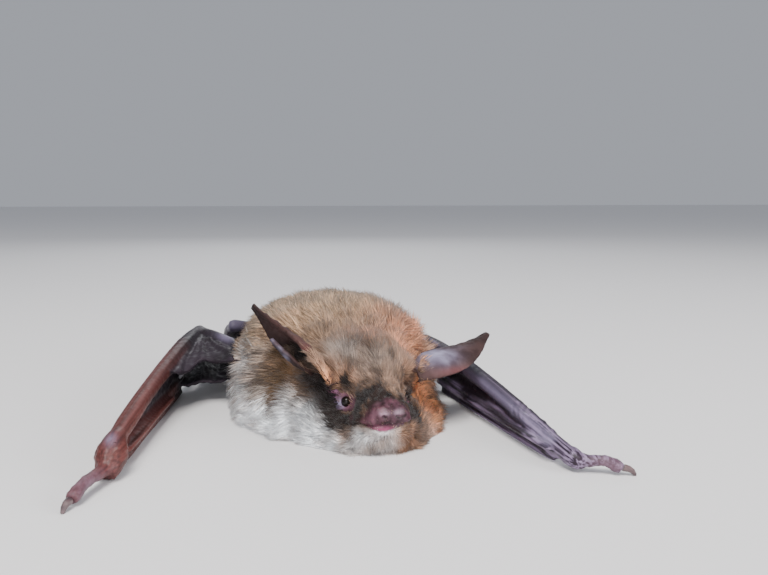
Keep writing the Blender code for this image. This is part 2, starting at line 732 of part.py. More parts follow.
def make_leg(side, trunk):
    places = LEG[side]
    thigh_route = bowed(places["hip"], places["knee"], (0, 0, 0.6))
    shin_route = bowed(places["knee"], places["ankle"], (0, 0, 0.5))
    thigh = tube("thigh_" + side, thigh_route, THIGH_RADII, "wing_skin", rings=7)
    shin = tube("shin_" + side, shin_route, SHIN_RADII, "wing_skin", rings=7)
    foot = make_foot(side)
    make_room(shin, thigh)
    make_room(foot, shin)
    make_room(thigh, trunk)
    return {piece.name: piece for piece in (thigh, shin, foot)}


def tail_membrane_surface(side):
    """The web between the tail and one leg, out to the spur of the heel, in shallow pleats."""
    places = LEG[side]
    hip, knee, ankle, spur = (Vector(places[name]) for name in ("hip", "knee", "ankle", "spur"))
    inside = Vector((0.8 if side == "right" else -0.8, 0.6, -0.5))
    thigh_side, knee_side = hip.lerp(knee, 0.45) + inside * 2, knee + inside * 1.6
    edge = (thigh_side, knee_side, knee.lerp(ankle, 0.5) + inside, ankle + inside, spur)

    def surface(u, v):
        point = along(TAIL_ROUTE, 0.1 + 0.86 * u).lerp(along(edge, u), v)
        across = math.sin(math.pi * v)
        point.z += 0.35 * math.sin(6 * math.pi * v + 2.0 * u) * across - 1.2 * across * (1 - u)
        point.z = max(point.z, MEMBRANE / 2 + 0.05)
        return point

    return surface


def make_tail(trunk, legs):
    tail = tube("tail", TAIL_ROUTE, TAIL_RADII, "wing_skin", sides=7, rings=8)
    made = {"tail": tail}
    for side in SIDES:
        web = sheet("tail_membrane_" + side, tail_membrane_surface(side), 6, 7, MEMBRANE, "membrane")
        own = [legs[f"{bone}_{side}"] for bone in ("thigh", "shin", "foot")]
        make_room(web, tail, *own, trunk)
        made[web.name] = web
    make_room(tail, trunk)
    return made


# ---- the whole bat --------------------------------------------------------------------------------
def clear_scene():
    for obj in list(bpy.data.objects):
        bpy.data.objects.remove(obj, do_unlink=True)


def main():
    clear_scene()
    made = make_body()
    made.update(make_ears(made["head"], made["neck"], made["trunk"]))
    legs = {}
    for side in SIDES:
        legs.update(make_leg(side, made["trunk"]))
    for side in SIDES:
        made.update(make_arm(side, made["trunk"], made["neck"]))
        made.update(make_fingers(side, made["wrist_" + side], made["forearm_" + side]))
        own_legs = [legs[f"{bone}_{side}"] for bone in ("thigh", "shin", "foot")]
        made.update(make_membranes(side, made, own_legs))
    made.update(make_tail(made["trunk"], legs))


main()
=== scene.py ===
"""Looks of the crouching mouse-eared bat: one skin under a coat of solid tufts, eyes, claws, stage and light.

Lengths are millimetres until an object is made. The bat faces -Y, its right side is -X, the floor is z = 0.
"""

import math

import bmesh
import bpy
import numpy as np
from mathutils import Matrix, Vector
from mathutils.bvhtree import BVHTree
from mathutils.kdtree import KDTree


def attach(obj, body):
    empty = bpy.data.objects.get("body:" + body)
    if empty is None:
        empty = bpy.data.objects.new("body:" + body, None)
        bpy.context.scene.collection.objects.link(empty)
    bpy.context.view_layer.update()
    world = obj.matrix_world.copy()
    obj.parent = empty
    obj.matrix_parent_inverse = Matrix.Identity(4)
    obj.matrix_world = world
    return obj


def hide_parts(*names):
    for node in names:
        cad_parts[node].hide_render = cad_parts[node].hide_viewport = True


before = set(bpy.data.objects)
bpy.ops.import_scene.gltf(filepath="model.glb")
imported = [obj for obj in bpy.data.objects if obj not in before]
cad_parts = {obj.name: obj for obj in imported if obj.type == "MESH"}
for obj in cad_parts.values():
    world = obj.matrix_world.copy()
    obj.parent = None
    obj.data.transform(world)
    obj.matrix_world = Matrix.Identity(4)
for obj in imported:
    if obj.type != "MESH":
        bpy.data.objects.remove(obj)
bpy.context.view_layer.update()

MM = 0.001
TURN = 2 * math.pi
BODY = "root"
SIDES = ("right", "left")
OUTWARD = {"right": -1.0, "left": 1.0}


def pair(right, left):
    """The place of something on each side of the body."""
    return {"right": np.array(right), "left": np.array(left)}


FACE_CENTRE = 0.4
EYES = pair((-3.2, -18.8, 5.2), (4.0, -18.8, 5.2))
EYE_RADIUS = 0.66
FORWARD = {"right": 0.6, "left": 0.15}  # how far each eye is turned towards the nose
LID_REACH = (0.0, 0.5, 0.6, 0.76, 1.05, 1.4)  # from the middle of the eye
LID_HEIGHT = (-0.1, 0.0, 0.3, 0.34, 0.25, 0.1)  # how far out the skin stands at each
NOSTRILS = pair((-0.35, -25.1, 4.95), (1.25, -25.1, 4.95))
EAR_ROOT = pair((-5.4, -17.2, 5.6), (5.3, -16.0, 6.9))
EAR_TIP = pair((-13.3, -9.8, 15.6), (18.8, -10.4, 7.9))
ELBOW = pair((-19.1, 16.2, 8.5), (15.6, 6.6, 7.0))
WRIST = pair((-29.2, -20.6, 3.5), (18.2, -32.6, 1.7))
KNEE = pair((-13.8, 17.8, 8.7), (13.4, 18.4, 8.2))
ANKLE = pair((-14.6, 33.0, 1.7), (13.9, 33.6, 1.7))
TOES = pair((-17.4, 38.2, 0.5), (16.2, 39.0, 0.5))

VOXEL = 0.2
SWELL = {"body": 0.34, "jaw": 0.3}  # closes the gaps that the solids leave between neighbours
THIN_SWELL = 0.17  # the same for limbs, ears and webs
LIMB_FAN = 30.0  # the folds of a limb meet half as far beyond its wrist or ankle
BEHIND_ELBOWS = 17.0  # limbs are hind limbs from here back
EAR_RIDGES = 8.5
EAR_RIDGE_HEIGHT = {"right": 0.07, "left": 0.04}
TAIL_FOLD_GAP = 1.25
WEB_CORNER = (-21.6, -0.6, 6.2)  # the near propatagium's end
FACE_REGION = ((FACE_CENTRE, -22.5, 5.0), 7.0)  # finer skin inside this ball
SKIN_TRIANGLES = 170_000

KINDS = ("body", "jaw", "ear", "limb", "foot", "membrane")
KIND_NODES = {  # how the names of each kind's nodes start; the rest are limbs
    "body": ("trunk", "neck", "head"),
    "jaw": ("lower_jaw",),
    "ear": ("ear", "tragus"),
    "foot": ("foot",),
    "membrane": ("propatagium", "hand_membrane", "arm_membrane", "tail_membrane"),
}


# ---- small numeric tools ----
def ramp(low, high, value):
    """A soft step from 0 at low to 1 at high; low may be the larger."""
    share = np.clip((value - low) / (high - low), 0.0, 1.0)
    return share * share * (3.0 - 2.0 * share)


def near(points, place, radius):
    """A soft ball of influence; radius is one number or one for each axis."""
    offset = (points - np.asarray(place, float)) / np.asarray(radius, float)
    return np.exp(-(offset**2).sum(axis=1))


def near_line(points, start, end, radius):
    """A soft influence round the line from start to end."""
    start, end = np.asarray(start, float), np.asarray(end, float)
    share = np.clip((points - start) @ (end - start) / ((end - start) ** 2).sum(), 0.0, 1.0)
    away = np.linalg.norm(points - start - share[:, None] * (end - start), axis=1)
    return np.exp(-((away / radius) ** 2))


def spotted(points, spots):
    """The sum of soft balls of influence, each given by its strength, place and radius."""
    return sum(strength * near(points, place, radius) for strength, place, radius in spots)


def on_side(points, side):
    """True for the points of one half of the body."""
    return points[:, 0] < 0 if side == "right" else points[:, 0] >= 0


def unit(vectors):
    return vectors / np.maximum(np.linalg.norm(vectors, axis=-1, keepdims=True), 1e-9)


def laid_on(vectors, normal):
    """The directions of vectors once they are turned into the skin's plane."""
    return unit(vectors - normal * (vectors * normal).sum(axis=1, keepdims=True))


def ripple(points, wavelength, seed, waves=9):
    """Smooth noise between about -1 and 1, as a sum of plane waves in fixed directions."""
    rng = np.random.default_rng(seed)
    directions = unit(rng.normal(size=(waves, 3))) * (TURN / wavelength)
    directions *= rng.uniform(0.6, 1.5, size=(waves, 1))
    phases = rng.uniform(0, TURN, waves)
    return np.sin(points @ directions.T + phases).sum(axis=1) * math.sqrt(2.0 / waves) * 0.6


def nearest(points, others):
    """For each point, the index of the other that lies nearest to it."""
    tree = KDTree(len(others))
    for index, place in enumerate(others.tolist()):
        tree.insert(place, index)
    tree.balance()
    return np.array([tree.find(place)[1] for place in points.tolist()])


def rows_of(items, field, number, width):
    """One field of a mesh's vertices, triangles or edges, as an array with a row for each."""
    found = np.empty(len(items) * width, number)
    items.foreach_get(field, found)
    return found.reshape(-1, width)


def placed(name, data):
    """A new object in the scene."""
    obj = bpy.data.objects.new(name, data)
    bpy.context.collection.objects.link(obj)
    return obj


class Surface:
    """A mesh as arrays, with its edges for smoothing."""

    def __init__(self, mesh):
        self.points = rows_of(mesh.vertices, "co", float, 3)
        mesh.calc_loop_triangles()
        self.triangles = rows_of(mesh.loop_triangles, "vertices", np.int64, 3)
        self.edges = rows_of(mesh.edges, "vertices", np.int64, 2)
        ends = self.edges.reshape(-1)
        self.degree = np.maximum(np.bincount(ends, minlength=len(self.points)), 1)

    def summed(self, vertices, values):
        """The sum at each vertex of the values that belong to it."""
        count = len(self.points)
        return np.column_stack([np.bincount(vertices, column, minlength=count) for column in values.T])

    def normals(self):
        a, b, c = (self.points[corner] for corner in self.triangles.T)
        across = np.cross(b - a, c - a)
        return unit(sum(self.summed(corner, across) for corner in self.triangles.T))

    def averaged(self, values):
        """Each vertex's mean of its neighbours."""
        rows = values.reshape(len(values), -1)
        first, second = self.edges.T
        total = self.summed(first, rows[second]) + self.summed(second, rows[first])
        return (total / self.degree[:, None]).reshape(values.shape)

    def spread(self, values, rounds):
        for _ in range(rounds):
            values = 0.5 * values + 0.5 * self.averaged(values)
        return values

    def relax(self, rounds, amount, share=0.5):
        """Moves each vertex towards its neighbours; amount is how much each one takes part."""
        for _ in range(rounds):
            self.points += (self.averaged(self.points) - self.points) * share * amount[:, None]

    def smooth(self, rounds, amount):
        """Taubin smoothing: a slightly longer step back after each step keeps the volume."""
        for _ in range(rounds):
            self.relax(1, amount)
            self.relax(1, amount, -0.53)


# ---- skin ----
def kind_of(node):
    found = [kind for kind, starts in KIND_NODES.items() if node.startswith(starts)]
    return found[0] if found else "limb"


def share_of(shares, *kinds):
    """How far each point belongs to any of some kinds."""
    return sum(shares[:, KINDS.index(kind)] for kind in kinds)


def flesh_nodes():
    return sorted(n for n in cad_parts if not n.startswith(("eye_", "thumb_claw_")))


def cad_copy(node, grow):
    """A CAD node's mesh in millimetres with its corners welded, grown along its normals if that is asked."""
    swell = SWELL.get(kind_of(node), THIN_SWELL) if grow else 0.0
    made = bmesh.new()
    made.from_mesh(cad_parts[node].data)
    bmesh.ops.scale(made, vec=(1 / MM,) * 3, verts=made.verts)
    bmesh.ops.remove_doubles(made, verts=made.verts, dist=1e-3)
    made.normal_update()
    moved = [v.co + v.normal * swell for v in made.verts]
    for vertex, place in zip(made.verts, moved):
        vertex.co = place
    made.verts.index_update()
    points = [tuple(v.co) for v in made.verts]
    faces = [tuple(v.index for v in f.verts) for f in made.faces]
    made.free()
    return points, faces


def joined(nodes, grow):
    """Points, faces and each face's kind for several nodes together, grown or as they are."""
    points, faces, kinds = [], [], []
    for node in nodes:
        more_points, more_faces = cad_copy(node, grow)
        faces += [tuple(i + len(points) for i in f) for f in more_faces]
        points += more_points
        kinds += [KINDS.index(kind_of(node))] * len(more_faces)
    return points, faces, np.array(kinds)


def evaluated(obj):
    return bpy.data.meshes.new_from_object(obj.evaluated_get(bpy.context.evaluated_depsgraph_get()))


def remeshed(points, faces):
    mesh = bpy.data.meshes.new("skin_draft")
    mesh.from_pydata(points, [], faces)
    draft = placed("skin_draft", mesh)
    voxels = draft.modifiers.new("voxels", "REMESH")
    voxels.mode = "VOXEL"
    voxels.voxel_size = VOXEL
    made = evaluated(draft)
    bpy.data.objects.remove(draft)
    return made


def refine(mesh, region):
    """Divides the faces inside a ball once, for the small forms of the face."""
    centre, radius = region
    made = bmesh.new()
    made.from_mesh(mesh)
    place = Vector(centre)
    edges = [e for e in made.edges if all((v.co - place).length < radius for v in e.verts)]
    bmesh.ops.subdivide_edges(made, edges=edges, cuts=1, use_grid_fill=True)
    bmesh.ops.triangulate(made, faces=[f for f in made.faces if len(f.verts) > 4])
    made.to_mesh(mesh)
    made.free()


def kinds_at(points, joined_nodes):
    """For each point, one share per kind of the solid nearest to it."""
    corners, faces, kinds = joined_nodes
    tree = BVHTree.FromPolygons(corners, faces)
    found = np.array([tree.find_nearest(p)[2] for p in points.tolist()])
    shares = np.zeros((len(points), len(KINDS)))
    shares[np.arange(len(points)), kinds[found]] = 1.0
    return shares


def coat_depth(points):
    """How far the skin of the furred body lies under the tips of the coat."""
    x, y, z = points.T
    height = ramp(0.0, 5.0, z)
    trunk = 1.5 + 0.5 * height
    crown = 1.0 + 0.5 * height + 0.5 * ramp(4.5, 8.0, np.abs(x - FACE_CENTRE))
    depth = crown + (trunk - crown) * ramp(-13.0, -7.0, y)
    depth *= ramp(27.0, 17.0, y)
    face = ramp(-22.6, -15.5, y)
    low = ramp(-25.2, -21.5, y) * ramp(3.2, 1.4, z)
    depth *= np.maximum(face, 0.6 * low)
    for side in SIDES:
        depth *= 1.0 - 0.6 * near(points, EYES[side], 2.0)
    depth *= 1.0 - 0.85 * near(points, (-4.9, -17.5, 6.2), 1.5)
    return depth


def face_forms(surface):
    """Lids, nostrils, lips, glands and folds of the bare muzzle."""
    p = surface.points
    normal = surface.normals()
    x, y, z = p.T
    muzzle = ramp(-20.0, -22.5, y)
    rise = np.zeros(len(p))
    mouth_height = 3.95 - 0.35 * ramp(-25.0, -20.0, y) - 0.03 * (x - FACE_CENTRE) ** 2
    slit = np.exp(-(((z - mouth_height) / 0.15) ** 2)) * ramp(-18.8, -21.5, y)
    rise -= 0.36 * slit
    rise += 0.34 * near(p, (-0.3, -25.0, 3.25), (1.5, 1.6, 0.5))
    rise += 0.14 * np.exp(-(((z - mouth_height - 0.45) / 0.28) ** 2)) * ramp(-19.5, -21.5, y)
    for side in SIDES:
        rise += 0.22 * near(p, NOSTRILS[side] + (0, 0.2, 0.15), 0.75)
        rise -= 0.55 * near(p, NOSTRILS[side], (0.26, 0.8, 0.2))
    rise -= 0.14 * near(p, (FACE_CENTRE, -25.3, 4.8), (0.14, 1.0, 0.9))
    bumps = ripple(p, 1.1, 3) * 0.075 + ripple(p, 0.55, 4) * 0.03
    rise += bumps * muzzle * ramp(2.0, 3.0, z)
    furrow = np.sin((z + 0.35 * np.abs(x - FACE_CENTRE)) * 5.2 + ripple(p, 3.0, 5))
    rise += 0.05 * furrow * near(p, (FACE_CENTRE, -22.2, 6.6), (3.0, 2.2, 1.4))
    surface.points = p + normal * rise[:, None]
    for side in SIDES:
        lids(surface, side)


def lids(surface, side):
    """Closes the skin round the eyeball in a low rim, just in front of the ball's widest part."""
    centre = EYES[side]
    outward = facing(surface, side)
    for evening in (12, 6, 0):
        offset = surface.points - centre
        height = offset @ outward
        beside = offset - height[:, None] * outward
        reach = np.linalg.norm(beside, axis=1)
        rim = np.interp(reach, LID_REACH, LID_HEIGHT)
        share = ramp(1.9, 1.0, reach) * ramp(2.6, 1.9, np.abs(height))
        wanted = height * (1.0 - share) + rim * share
        surface.points = centre + beside + wanted[:, None] * outward
        surface.relax(evening, share)


def facing(surface, side):
    """The direction that an eye looks in: the way the skin round it faces, turned a little forward."""
    weight = near(surface.points, EYES[side], 1.2)
    found = unit((surface.normals() * weight[:, None]).sum(axis=0))
    return unit(found + (0.0, -FORWARD[side], 0.1))


def flatness(surface):
    """1 on the flat of a sheet and less near its rim, where neighbouring normals disagree."""
    agreed = np.linalg.norm(surface.spread(surface.normals(), 10), axis=1)
    return ramp(0.72, 0.96, agreed)


def ear_forms(points, shares):
    """Cross ridges on the ears, as a height along the normal."""
    rise = np.zeros(len(points))
    for side in SIDES:
        root, tip = EAR_ROOT[side], EAR_TIP[side]
        length = np.linalg.norm(tip - root)
        along = (points - root) @ (tip - root) / length**2
        between = ramp(0.2, 0.45, along) * ramp(1.0, 0.8, along)
        ridges = np.sin(along * TURN * EAR_RIDGES) * between
        rise += EAR_RIDGE_HEIGHT[side] * ridges * on_side(points, side)
    return rise * share_of(shares, "ear")


def membrane_forms(points, shares):
    """Fans of fine folds that start at the elbows, and slanting ones in the tail membrane."""
    rise = np.zeros(len(points))
    for side in SIDES:
        spoke = points - ELBOW[side]
        angle = np.arctan2(spoke[:, 0], -spoke[:, 1])
        reach = np.linalg.norm(spoke[:, :2], axis=1)
        fan = np.sin(angle * 70.0 + ripple(points, 9.0, 11) * 2.5) * ramp(1.0, 6.0, reach)
        front = ramp(24.0, 20.0, points[:, 1])
        rise += 0.11 * fan * on_side(points, side) * front
    slant = points[:, 1] + np.abs(points[:, 0]) * 0.55
    rows = np.sin(slant * TURN / TAIL_FOLD_GAP + ripple(points, 6.0, 12))
    rise += 0.07 * rows * ramp(24.0, 28.0, points[:, 1]) + 0.06 * ripple(points, 2.2, 13)
    return rise * share_of(shares, "membrane")


def along_limbs(points):
    """Places that don't change along a limb: the direction from a point beyond its wrist or ankle."""
    found = np.empty_like(points)
    for side in SIDES:
        one_side = on_side(points, side)
        behind = points[:, 1] > BEHIND_ELBOWS
        for start, end, part in ((ELBOW, WRIST, one_side & ~behind), (KNEE, ANKLE, one_side & behind)):
            along = unit(end[side] - start[side])
            found[part] = LIMB_FAN * unit(points[part] - end[side] - 0.5 * LIMB_FAN * along)
    return found


def limb_forms(points, shares):
    """Tendons and loose skin on arms, legs and tail."""
    wrinkles = ripple(along_limbs(points), 0.9, 21) * 0.045
    return wrinkles * share_of(shares, "limb", "foot")


def sink_under_coat(surface, body):
    """Takes the swell back and lowers the furred body by the depth of its coat."""
    swollen = THIN_SWELL + (SWELL["body"] - THIN_SWELL) * body
    surface.points -= surface.normals() * swollen[:, None]
    facing_down = ramp(-0.15, -0.8, surface.spread(surface.normals(), 6)[:, 2])
    depth = coat_depth(surface.points) * (1.0 - 0.75 * facing_down)
    depth = surface.spread(depth * ramp(0.35, 0.95, body), 20)
    for _ in range(6):
        surface.points -= surface.normals() * (depth / 6)[:, None]
        surface.relax(2, np.clip(depth, 0, 1) * body)
    surface.relax(60, np.clip(depth, 0, 1) * ramp(0.3, 0.9, body))


def even_out(surface, body):
    """Smooths the muzzle, the body and the joints of the limbs."""
    surface.relax(24, near(surface.points, (FACE_CENTRE, -23.0, 3.0), (6.0, 5.0, 3.6)) * body)
    surface.smooth(10, body)
    places = [place for joint in (WRIST, ELBOW, KNEE, ANKLE) for place in joint.values()]
    at_joints = sum(near(surface.points, place, 2.6) for place in places)
    surface.relax(30, np.clip(1.5 * at_joints, 0, 1) * ramp(0.6, 0.2, body))


def thin_forms(surface, shares):
    """Ridges, folds and wrinkles of ears, webs and limbs, and the sag of the near web's corner."""
    rise = ear_forms(surface.points, shares)
    rise += membrane_forms(surface.points, shares)
    rise *= flatness(surface)
    rise += limb_forms(surface.points, shares)
    surface.points += surface.normals() * rise[:, None]
    sag = near(surface.points, WEB_CORNER, (1.6, 2.2, 1.2)) * share_of(shares, "membrane")
    surface.points[:, 2] -= 0.6 * sag
    surface.points[:, 2] = np.maximum(surface.points[:, 2], 0.0)


def make_skin():
    """One skin in place of every node of flesh; returns its object, surface and shares of each kind."""
    nodes = flesh_nodes()
    grown_points, grown_faces, _ = joined(nodes, True)
    mesh = remeshed(grown_points, grown_faces)
    refine(mesh, FACE_REGION)
    surface = Surface(mesh)
    surface.smooth(8, np.ones(len(surface.points)))
    shares = kinds_at(surface.points, joined(nodes, False))
    body = surface.spread(share_of(shares, "body", "jaw"), 25)
    shares = surface.spread(shares, 4)
    sink_under_coat(surface, body)
    even_out(surface, body)
    face_forms(surface)
    thin_forms(surface, shares)
    mesh.vertices.foreach_set("co", surface.points.ravel())
    mesh.update()
    return thinned(mesh, surface, shares, nodes)


def thinned(mesh, dense, shares, nodes):
    """The dense skin with fewer triangles, most of them kept in the face, and its shares."""
    draft = placed("skin_dense", mesh)
    hidden = share_of(shares, "body") * ramp(-20.0, -15.0, dense.points[:, 1])
    group = draft.vertex_groups.new(name="spare")
    weights = np.round(0.08 + 0.92 * hidden, 2)
    for weight in np.unique(weights):
        group.add(np.flatnonzero(weights == weight).tolist(), float(weight), "REPLACE")
    fewer = draft.modifiers.new("fewer", "DECIMATE")
    fewer.ratio = SKIN_TRIANGLES / len(dense.triangles)
    fewer.use_collapse_triangulate = True
    fewer.vertex_group = "spare"
    fewer.vertex_group_factor = 1.0
    made = evaluated(draft)
    bpy.data.objects.remove(draft)
    made.name = "skin"
    skin = placed("skin", made)
    skin.vertex_groups.clear()
    surface = Surface(made)
    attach(skin, BODY)
    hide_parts(*nodes)
    return skin, surface, shares[nearest(surface.points, dense.points)]


# ---- markings of the coat ----
MARKS = ("golden", "rufous", "grey", "dark", "cream", "ochre", "orange")
CREAM = MARKS.index("cream")


def in_ear_shade(p):
    """How near points lie to the axis of the near ear, where the hair is painted dark as the shade inside the
    ear.
    """
    root, tip = EAR_ROOT["right"], EAR_TIP["right"]
    return near_line(p, root + 0.1 * (tip - root), root + 0.62 * (tip - root), 2.0)


FUR_SPOTS = {  # strength, place and radius of each
    "golden": (
        (1.0, (-9.0, -1.0, 14.0), (8.5, 10.0, 6.5)), (0.7, (0.0, 12.0, 14.0), (9.0, 12.0, 5.0)),
        (0.75, (2.0, -6.0, 16.0), (7.0, 6.0, 3.0)),
    ),
    "rufous": (
        (1.0, (10.5, -7.0, 11.0), (5.0, 7.0, 5.5)), (0.7, (6.0, -12.0, 12.5), (4.0, 4.0, 3.5)),
        (0.6, (0.6, -15.2, 12.9), (3.4, 2.2, 1.6)), (0.8, (7.6, -15.2, 9.2), (2.6, 2.4, 1.8)),
    ),
    "grey": (
        (0.5, (0.3, -18.8, 10.4), (4.2, 2.6, 1.6)), (0.9, (-3.2, -17.4, 11.0), (1.3, 2.0, 1.8)),
    ),
    "dark": (
        (0.9, (-1.4, -21.8, 6.9), (3.0, 2.0, 1.2)), (1.2, (5.1, -20.6, 4.8), (1.7, 3.4, 2.4)),
        (0.5, (0.4, -17.2, 12.0), (3.2, 1.8, 1.4)), (0.45, (1.0, -19.8, 8.9), (1.8, 1.6, 0.9)),
        (0.55, (3.2, -23.2, 1.4), (2.2, 2.4, 1.6)), (0.4, (-4.0, -18.2, 9.6), (1.0, 1.4, 1.4)),
        (1.0, (-2.2, -20.9, 5.2), 0.9),
        (0.6, (-3.6, -19.3, 7.2), (1.5, 1.2, 0.9)),
        (0.65, (-4.3, -18.4, 7.7), 0.8),
        (1.4, (-4.4, -20.8, 3.6), (2.0, 2.8, 1.5)), (1.1, (-6.0, -18.0, 4.9), (1.7, 2.2, 1.9)),
        (0.9, (5.2, -19.6, 3.4), (1.4, 1.8, 1.2)), (0.8, (6.5, -17.0, 5.6), (1.6, 2.2, 1.4)),
        # painted shade of the inside of the near ear, over dark fur: the two spots below the near ear
        (0.9, (-8.6, -14.6, 8.6), (1.7, 2.2, 1.9)), (0.6, (-6.9, -16.6, 7.4), (1.4, 1.6, 1.4)),
    ),
    "ochre": (
        (0.35, (0.4, -24.0, 1.8), (3.0, 2.0, 1.2)), (1.4, (-12.0, -10.6, 6.8), (2.9, 3.8, 3.8)),
        (0.6, (-9.0, -14.5, 5.4), (1.6, 2.2, 1.4)),
    ),
    "orange": (
        (1.1, (-5.6, -18.6, 8.8), (1.3, 1.6, 1.6)), (1.4, (9.0, -15.6, 3.4), (3.0, 4.0, 3.0)),
        (0.4, (-3.6, -19.9, 8.2), (1.3, 1.4, 0.8)), (0.45, (3.2, -23.2, 1.6), (1.9, 2.4, 1.5)),
        (0.6, (9.0, -12.0, 8.5), (2.6, 3.0, 3.4)), (0.6, (8.2, -15.5, 8.6), (2.2, 2.4, 2.4)),
    ),
}


def cream_mark(p):
    """Where the coat is cream: the near side's throat and flank, the chin and the belly."""
    x, y, z = p.T
    side = x - FACE_CENTRE
    wander = ripple(p, 5.0, 31) * 0.8
    found = ramp(5.6, 3.4, z + wander * 0.8) * ramp(-4.5, -6.5, side)
    chin = ramp(4.0, 2.9, z + wander * 0.3) * ramp(-21.0, -22.5, y)
    found = np.maximum(found, 0.5 * chin * ramp(2.4, -0.6, side))
    found = np.maximum(found, ramp(3.0, 1.2, z + wander * 0.8) * ramp(5.5, 8.0, side) * 0.15)
    belly = ramp(3.4, 2.0, z) * ramp(-15.0, -11.0, y)
    found = np.maximum(found, belly * (1.0 - ramp(7.0, 10.0, x) * ramp(8.0, 3.0, y)))
    return np.maximum(found, near(p, (-14.8, -6.2, 5.4), (2.8, 4.4, 4.6)))


def fur_marks(p):
    """How strongly each marking shows at points on the outline of the coat, one column for each mark."""
    found = {mark: spotted(p, spots) for mark, spots in FUR_SPOTS.items()}
    found["cream"] = cream_mark(p)
    mask = near(p, (FACE_CENTRE, -22.8, 5.4), (4.2, 2.0, 2.2)) * ramp(3.0, 3.7, p[:, 2])
    mottled = np.clip(ripple(p, 1.3, 33), 0.0, 1.0) * near(p, (0.4, -18.5, 9.5), (4.5, 3.0, 3.0))
    # the hair along the near ear is painted dark as the shade inside the ear
    found["dark"] = found["dark"] + 1.3 * mask + 0.5 * mottled + 1.2 * in_ear_shade(p)
    patchy = 1.0 + 0.4 * ripple(p, 2.0, 32)[:, None]
    return np.clip(np.stack([found[mark] for mark in MARKS], axis=1) * patchy, 0.0, 1.0)


BARE_RING = {"right": 1.15, "left": 0.7}  # how far bare skin reaches from each eye
BARE_SPOTS = (  # behind the near eye, between it and the nose, above the corner of the mouth
    (2.2, (-5.0, -17.4, 6.1), (1.3, 1.5, 1.0)),
    (1.5, (-2.6, -20.3, 5.3), (1.0, 1.1, 0.8)),
    (0.7, (-3.0, -21.6, 3.9), (1.0, 1.2, 0.8)),
)


def bare_face(p):
    """Where the face has bare skin: the muzzle, the lips and the ring round each eye."""
    x, y, z = p.T
    reach = y + 0.4 * (z - 5.0) + 0.35 * np.abs(x - FACE_CENTRE)
    low = 2.9 + 0.22 * np.abs(x + 0.3)
    found = ramp(-21.5, -24.2, reach) * ramp(low, low + 0.5, z)
    for side in SIDES:
        below = EYES[side] + (0.0, 0.0, -0.3)
        found = np.maximum(found, 2.0 * near(p, below, BARE_RING[side]))
    for spot in BARE_SPOTS:
        found = np.maximum(found, spotted(p, [spot]))
    return np.clip(found, 0.0, 1.0)


LAYERS = {1: ("FLOAT", "value"), 3: ("FLOAT_VECTOR", "vector"), 4: ("FLOAT_COLOR", "color")}


def flat(values):
    return np.ascontiguousarray(values, np.float32).ravel()


def store(mesh, name, values):
    """Keeps a number, a place or a colour for each vertex of a mesh."""
    kind, field = LAYERS[values.size // len(values)]
    mesh.attributes.new(name, kind, "POINT").data.foreach_set(field, flat(values))


def store_marks(mesh, marks, along, tone):
    store(mesh, "marks_a", marks[:, :4])
    store(mesh, "marks_b", np.column_stack([marks[:, 4:], along]))
    store(mesh, "tone", tone)


# ---- coat ----
NOSE = (FACE_CENTRE, -27.0, 3.4)
BANDS = ("face", "brow", "crown", "nape", "shoulders", "back", "loins", "rump")
CURLED = ("crown", "nape")  # bands whose long tufts bend twice
CURLED_TUFTS = 12_000  # in each of those bands
PLAIN_TUFTS = 18_500  # in each of the others
COAT_SEED = 2027
TUFTS_IN_LOCK = 14
LOCK_PULL = 0.28
ROOT_DEPTH = 0.12
STOPS = {2: (0.0, 0.5, 1.0), 3: (0.0, 0.33, 0.68, 1.0)}  # of the rings and the tip along a tuft
RING_WIDTHS = {2: (0.8, 1.0), 3: (0.75, 1.0, 0.68)}
COAT_FRONT, COAT_SPAN = -26.0, 53.0
PATCH = 0.003  # a tuft's size in the map of the coat
MAP_EDGE = 0.01
EAR_HAIR = {"right": 1.6, "left": 0.3}  # how thick the hair is at the foot of each ear
EAR_FRONT_EDGE = ((1.4, (-6.0, -18.4, 9.0), 1.3), (1.4, (-5.9, -18.6, 7.8), 1.3))
LENGTH_ON_HEAD, LENGTH_ON_BODY = 3.0, 4.3
SHOULDER = ((11.5, -6.0, 10.0), (4.0, 6.0, 4.0))  # the far one, whose coat stands out


def lie_of_coat(p, normal):
    """The direction that the hair points in: away from the nose on the head, back and down on the body."""
    x, y, z = p.T
    head = unit(p - NOSE) + (0.0, 0.1, 0.15)
    sideways = np.clip((x + 0.5) / 12.0, -1.0, 1.0)
    low = ramp(9.0, 2.0, z)
    body = np.column_stack([0.35 * sideways, 1.0 - 0.35 * low, -0.15 - 0.75 * low])
    share = ramp(-17.0, -9.0, y)[:, None]
    chin = (ramp(3.0, 2.0, z) * ramp(-21.5, -23.0, y))[:, None]
    found = head * (1 - share) + body * share
    found = found * (1 - chin) + chin * (0.0, -0.25, -1.0)
    return laid_on(found, normal)


def on_chin(p):
    return ramp(3.2, 2.4, p[:, 2]) * ramp(-20.5, -22.5, p[:, 1])


def coat_density(p, normal, shares, body):
    """How many tufts grow: few on bare skin, round the eyes and underneath, and most on the head."""
    found = ramp(0.25, 0.6, body) * (1.0 - 0.85 * bare_face(p))
    front_edge = np.clip(spotted(p, EAR_FRONT_EDGE), 0, 1)
    for side in SIDES:
        from_root = np.linalg.norm(p - EAR_ROOT[side], axis=1)
        on_base = np.maximum(ramp(3.4, 2.0, from_root), front_edge)
        on_base = on_base * share_of(shares, "ear") * on_side(p, side)
        found = np.maximum(found, EAR_HAIR[side] * on_base)
    for side in SIDES:
        found *= 1.0 - near(p, EYES[side], 1.05)
        found *= 1.0 - 0.95 * near(p, EYES[side] + (0.0, -1.5, -0.3), (1.3, 1.3, 0.9))
    underneath = ramp(-0.3, -0.8, normal[:, 2]) * ramp(2.5, 1.0, p[:, 2])
    return found * (1.0 + 1.1 * ramp(-9.0, -17.0, p[:, 1])) * (1.0 - 0.65 * underneath)


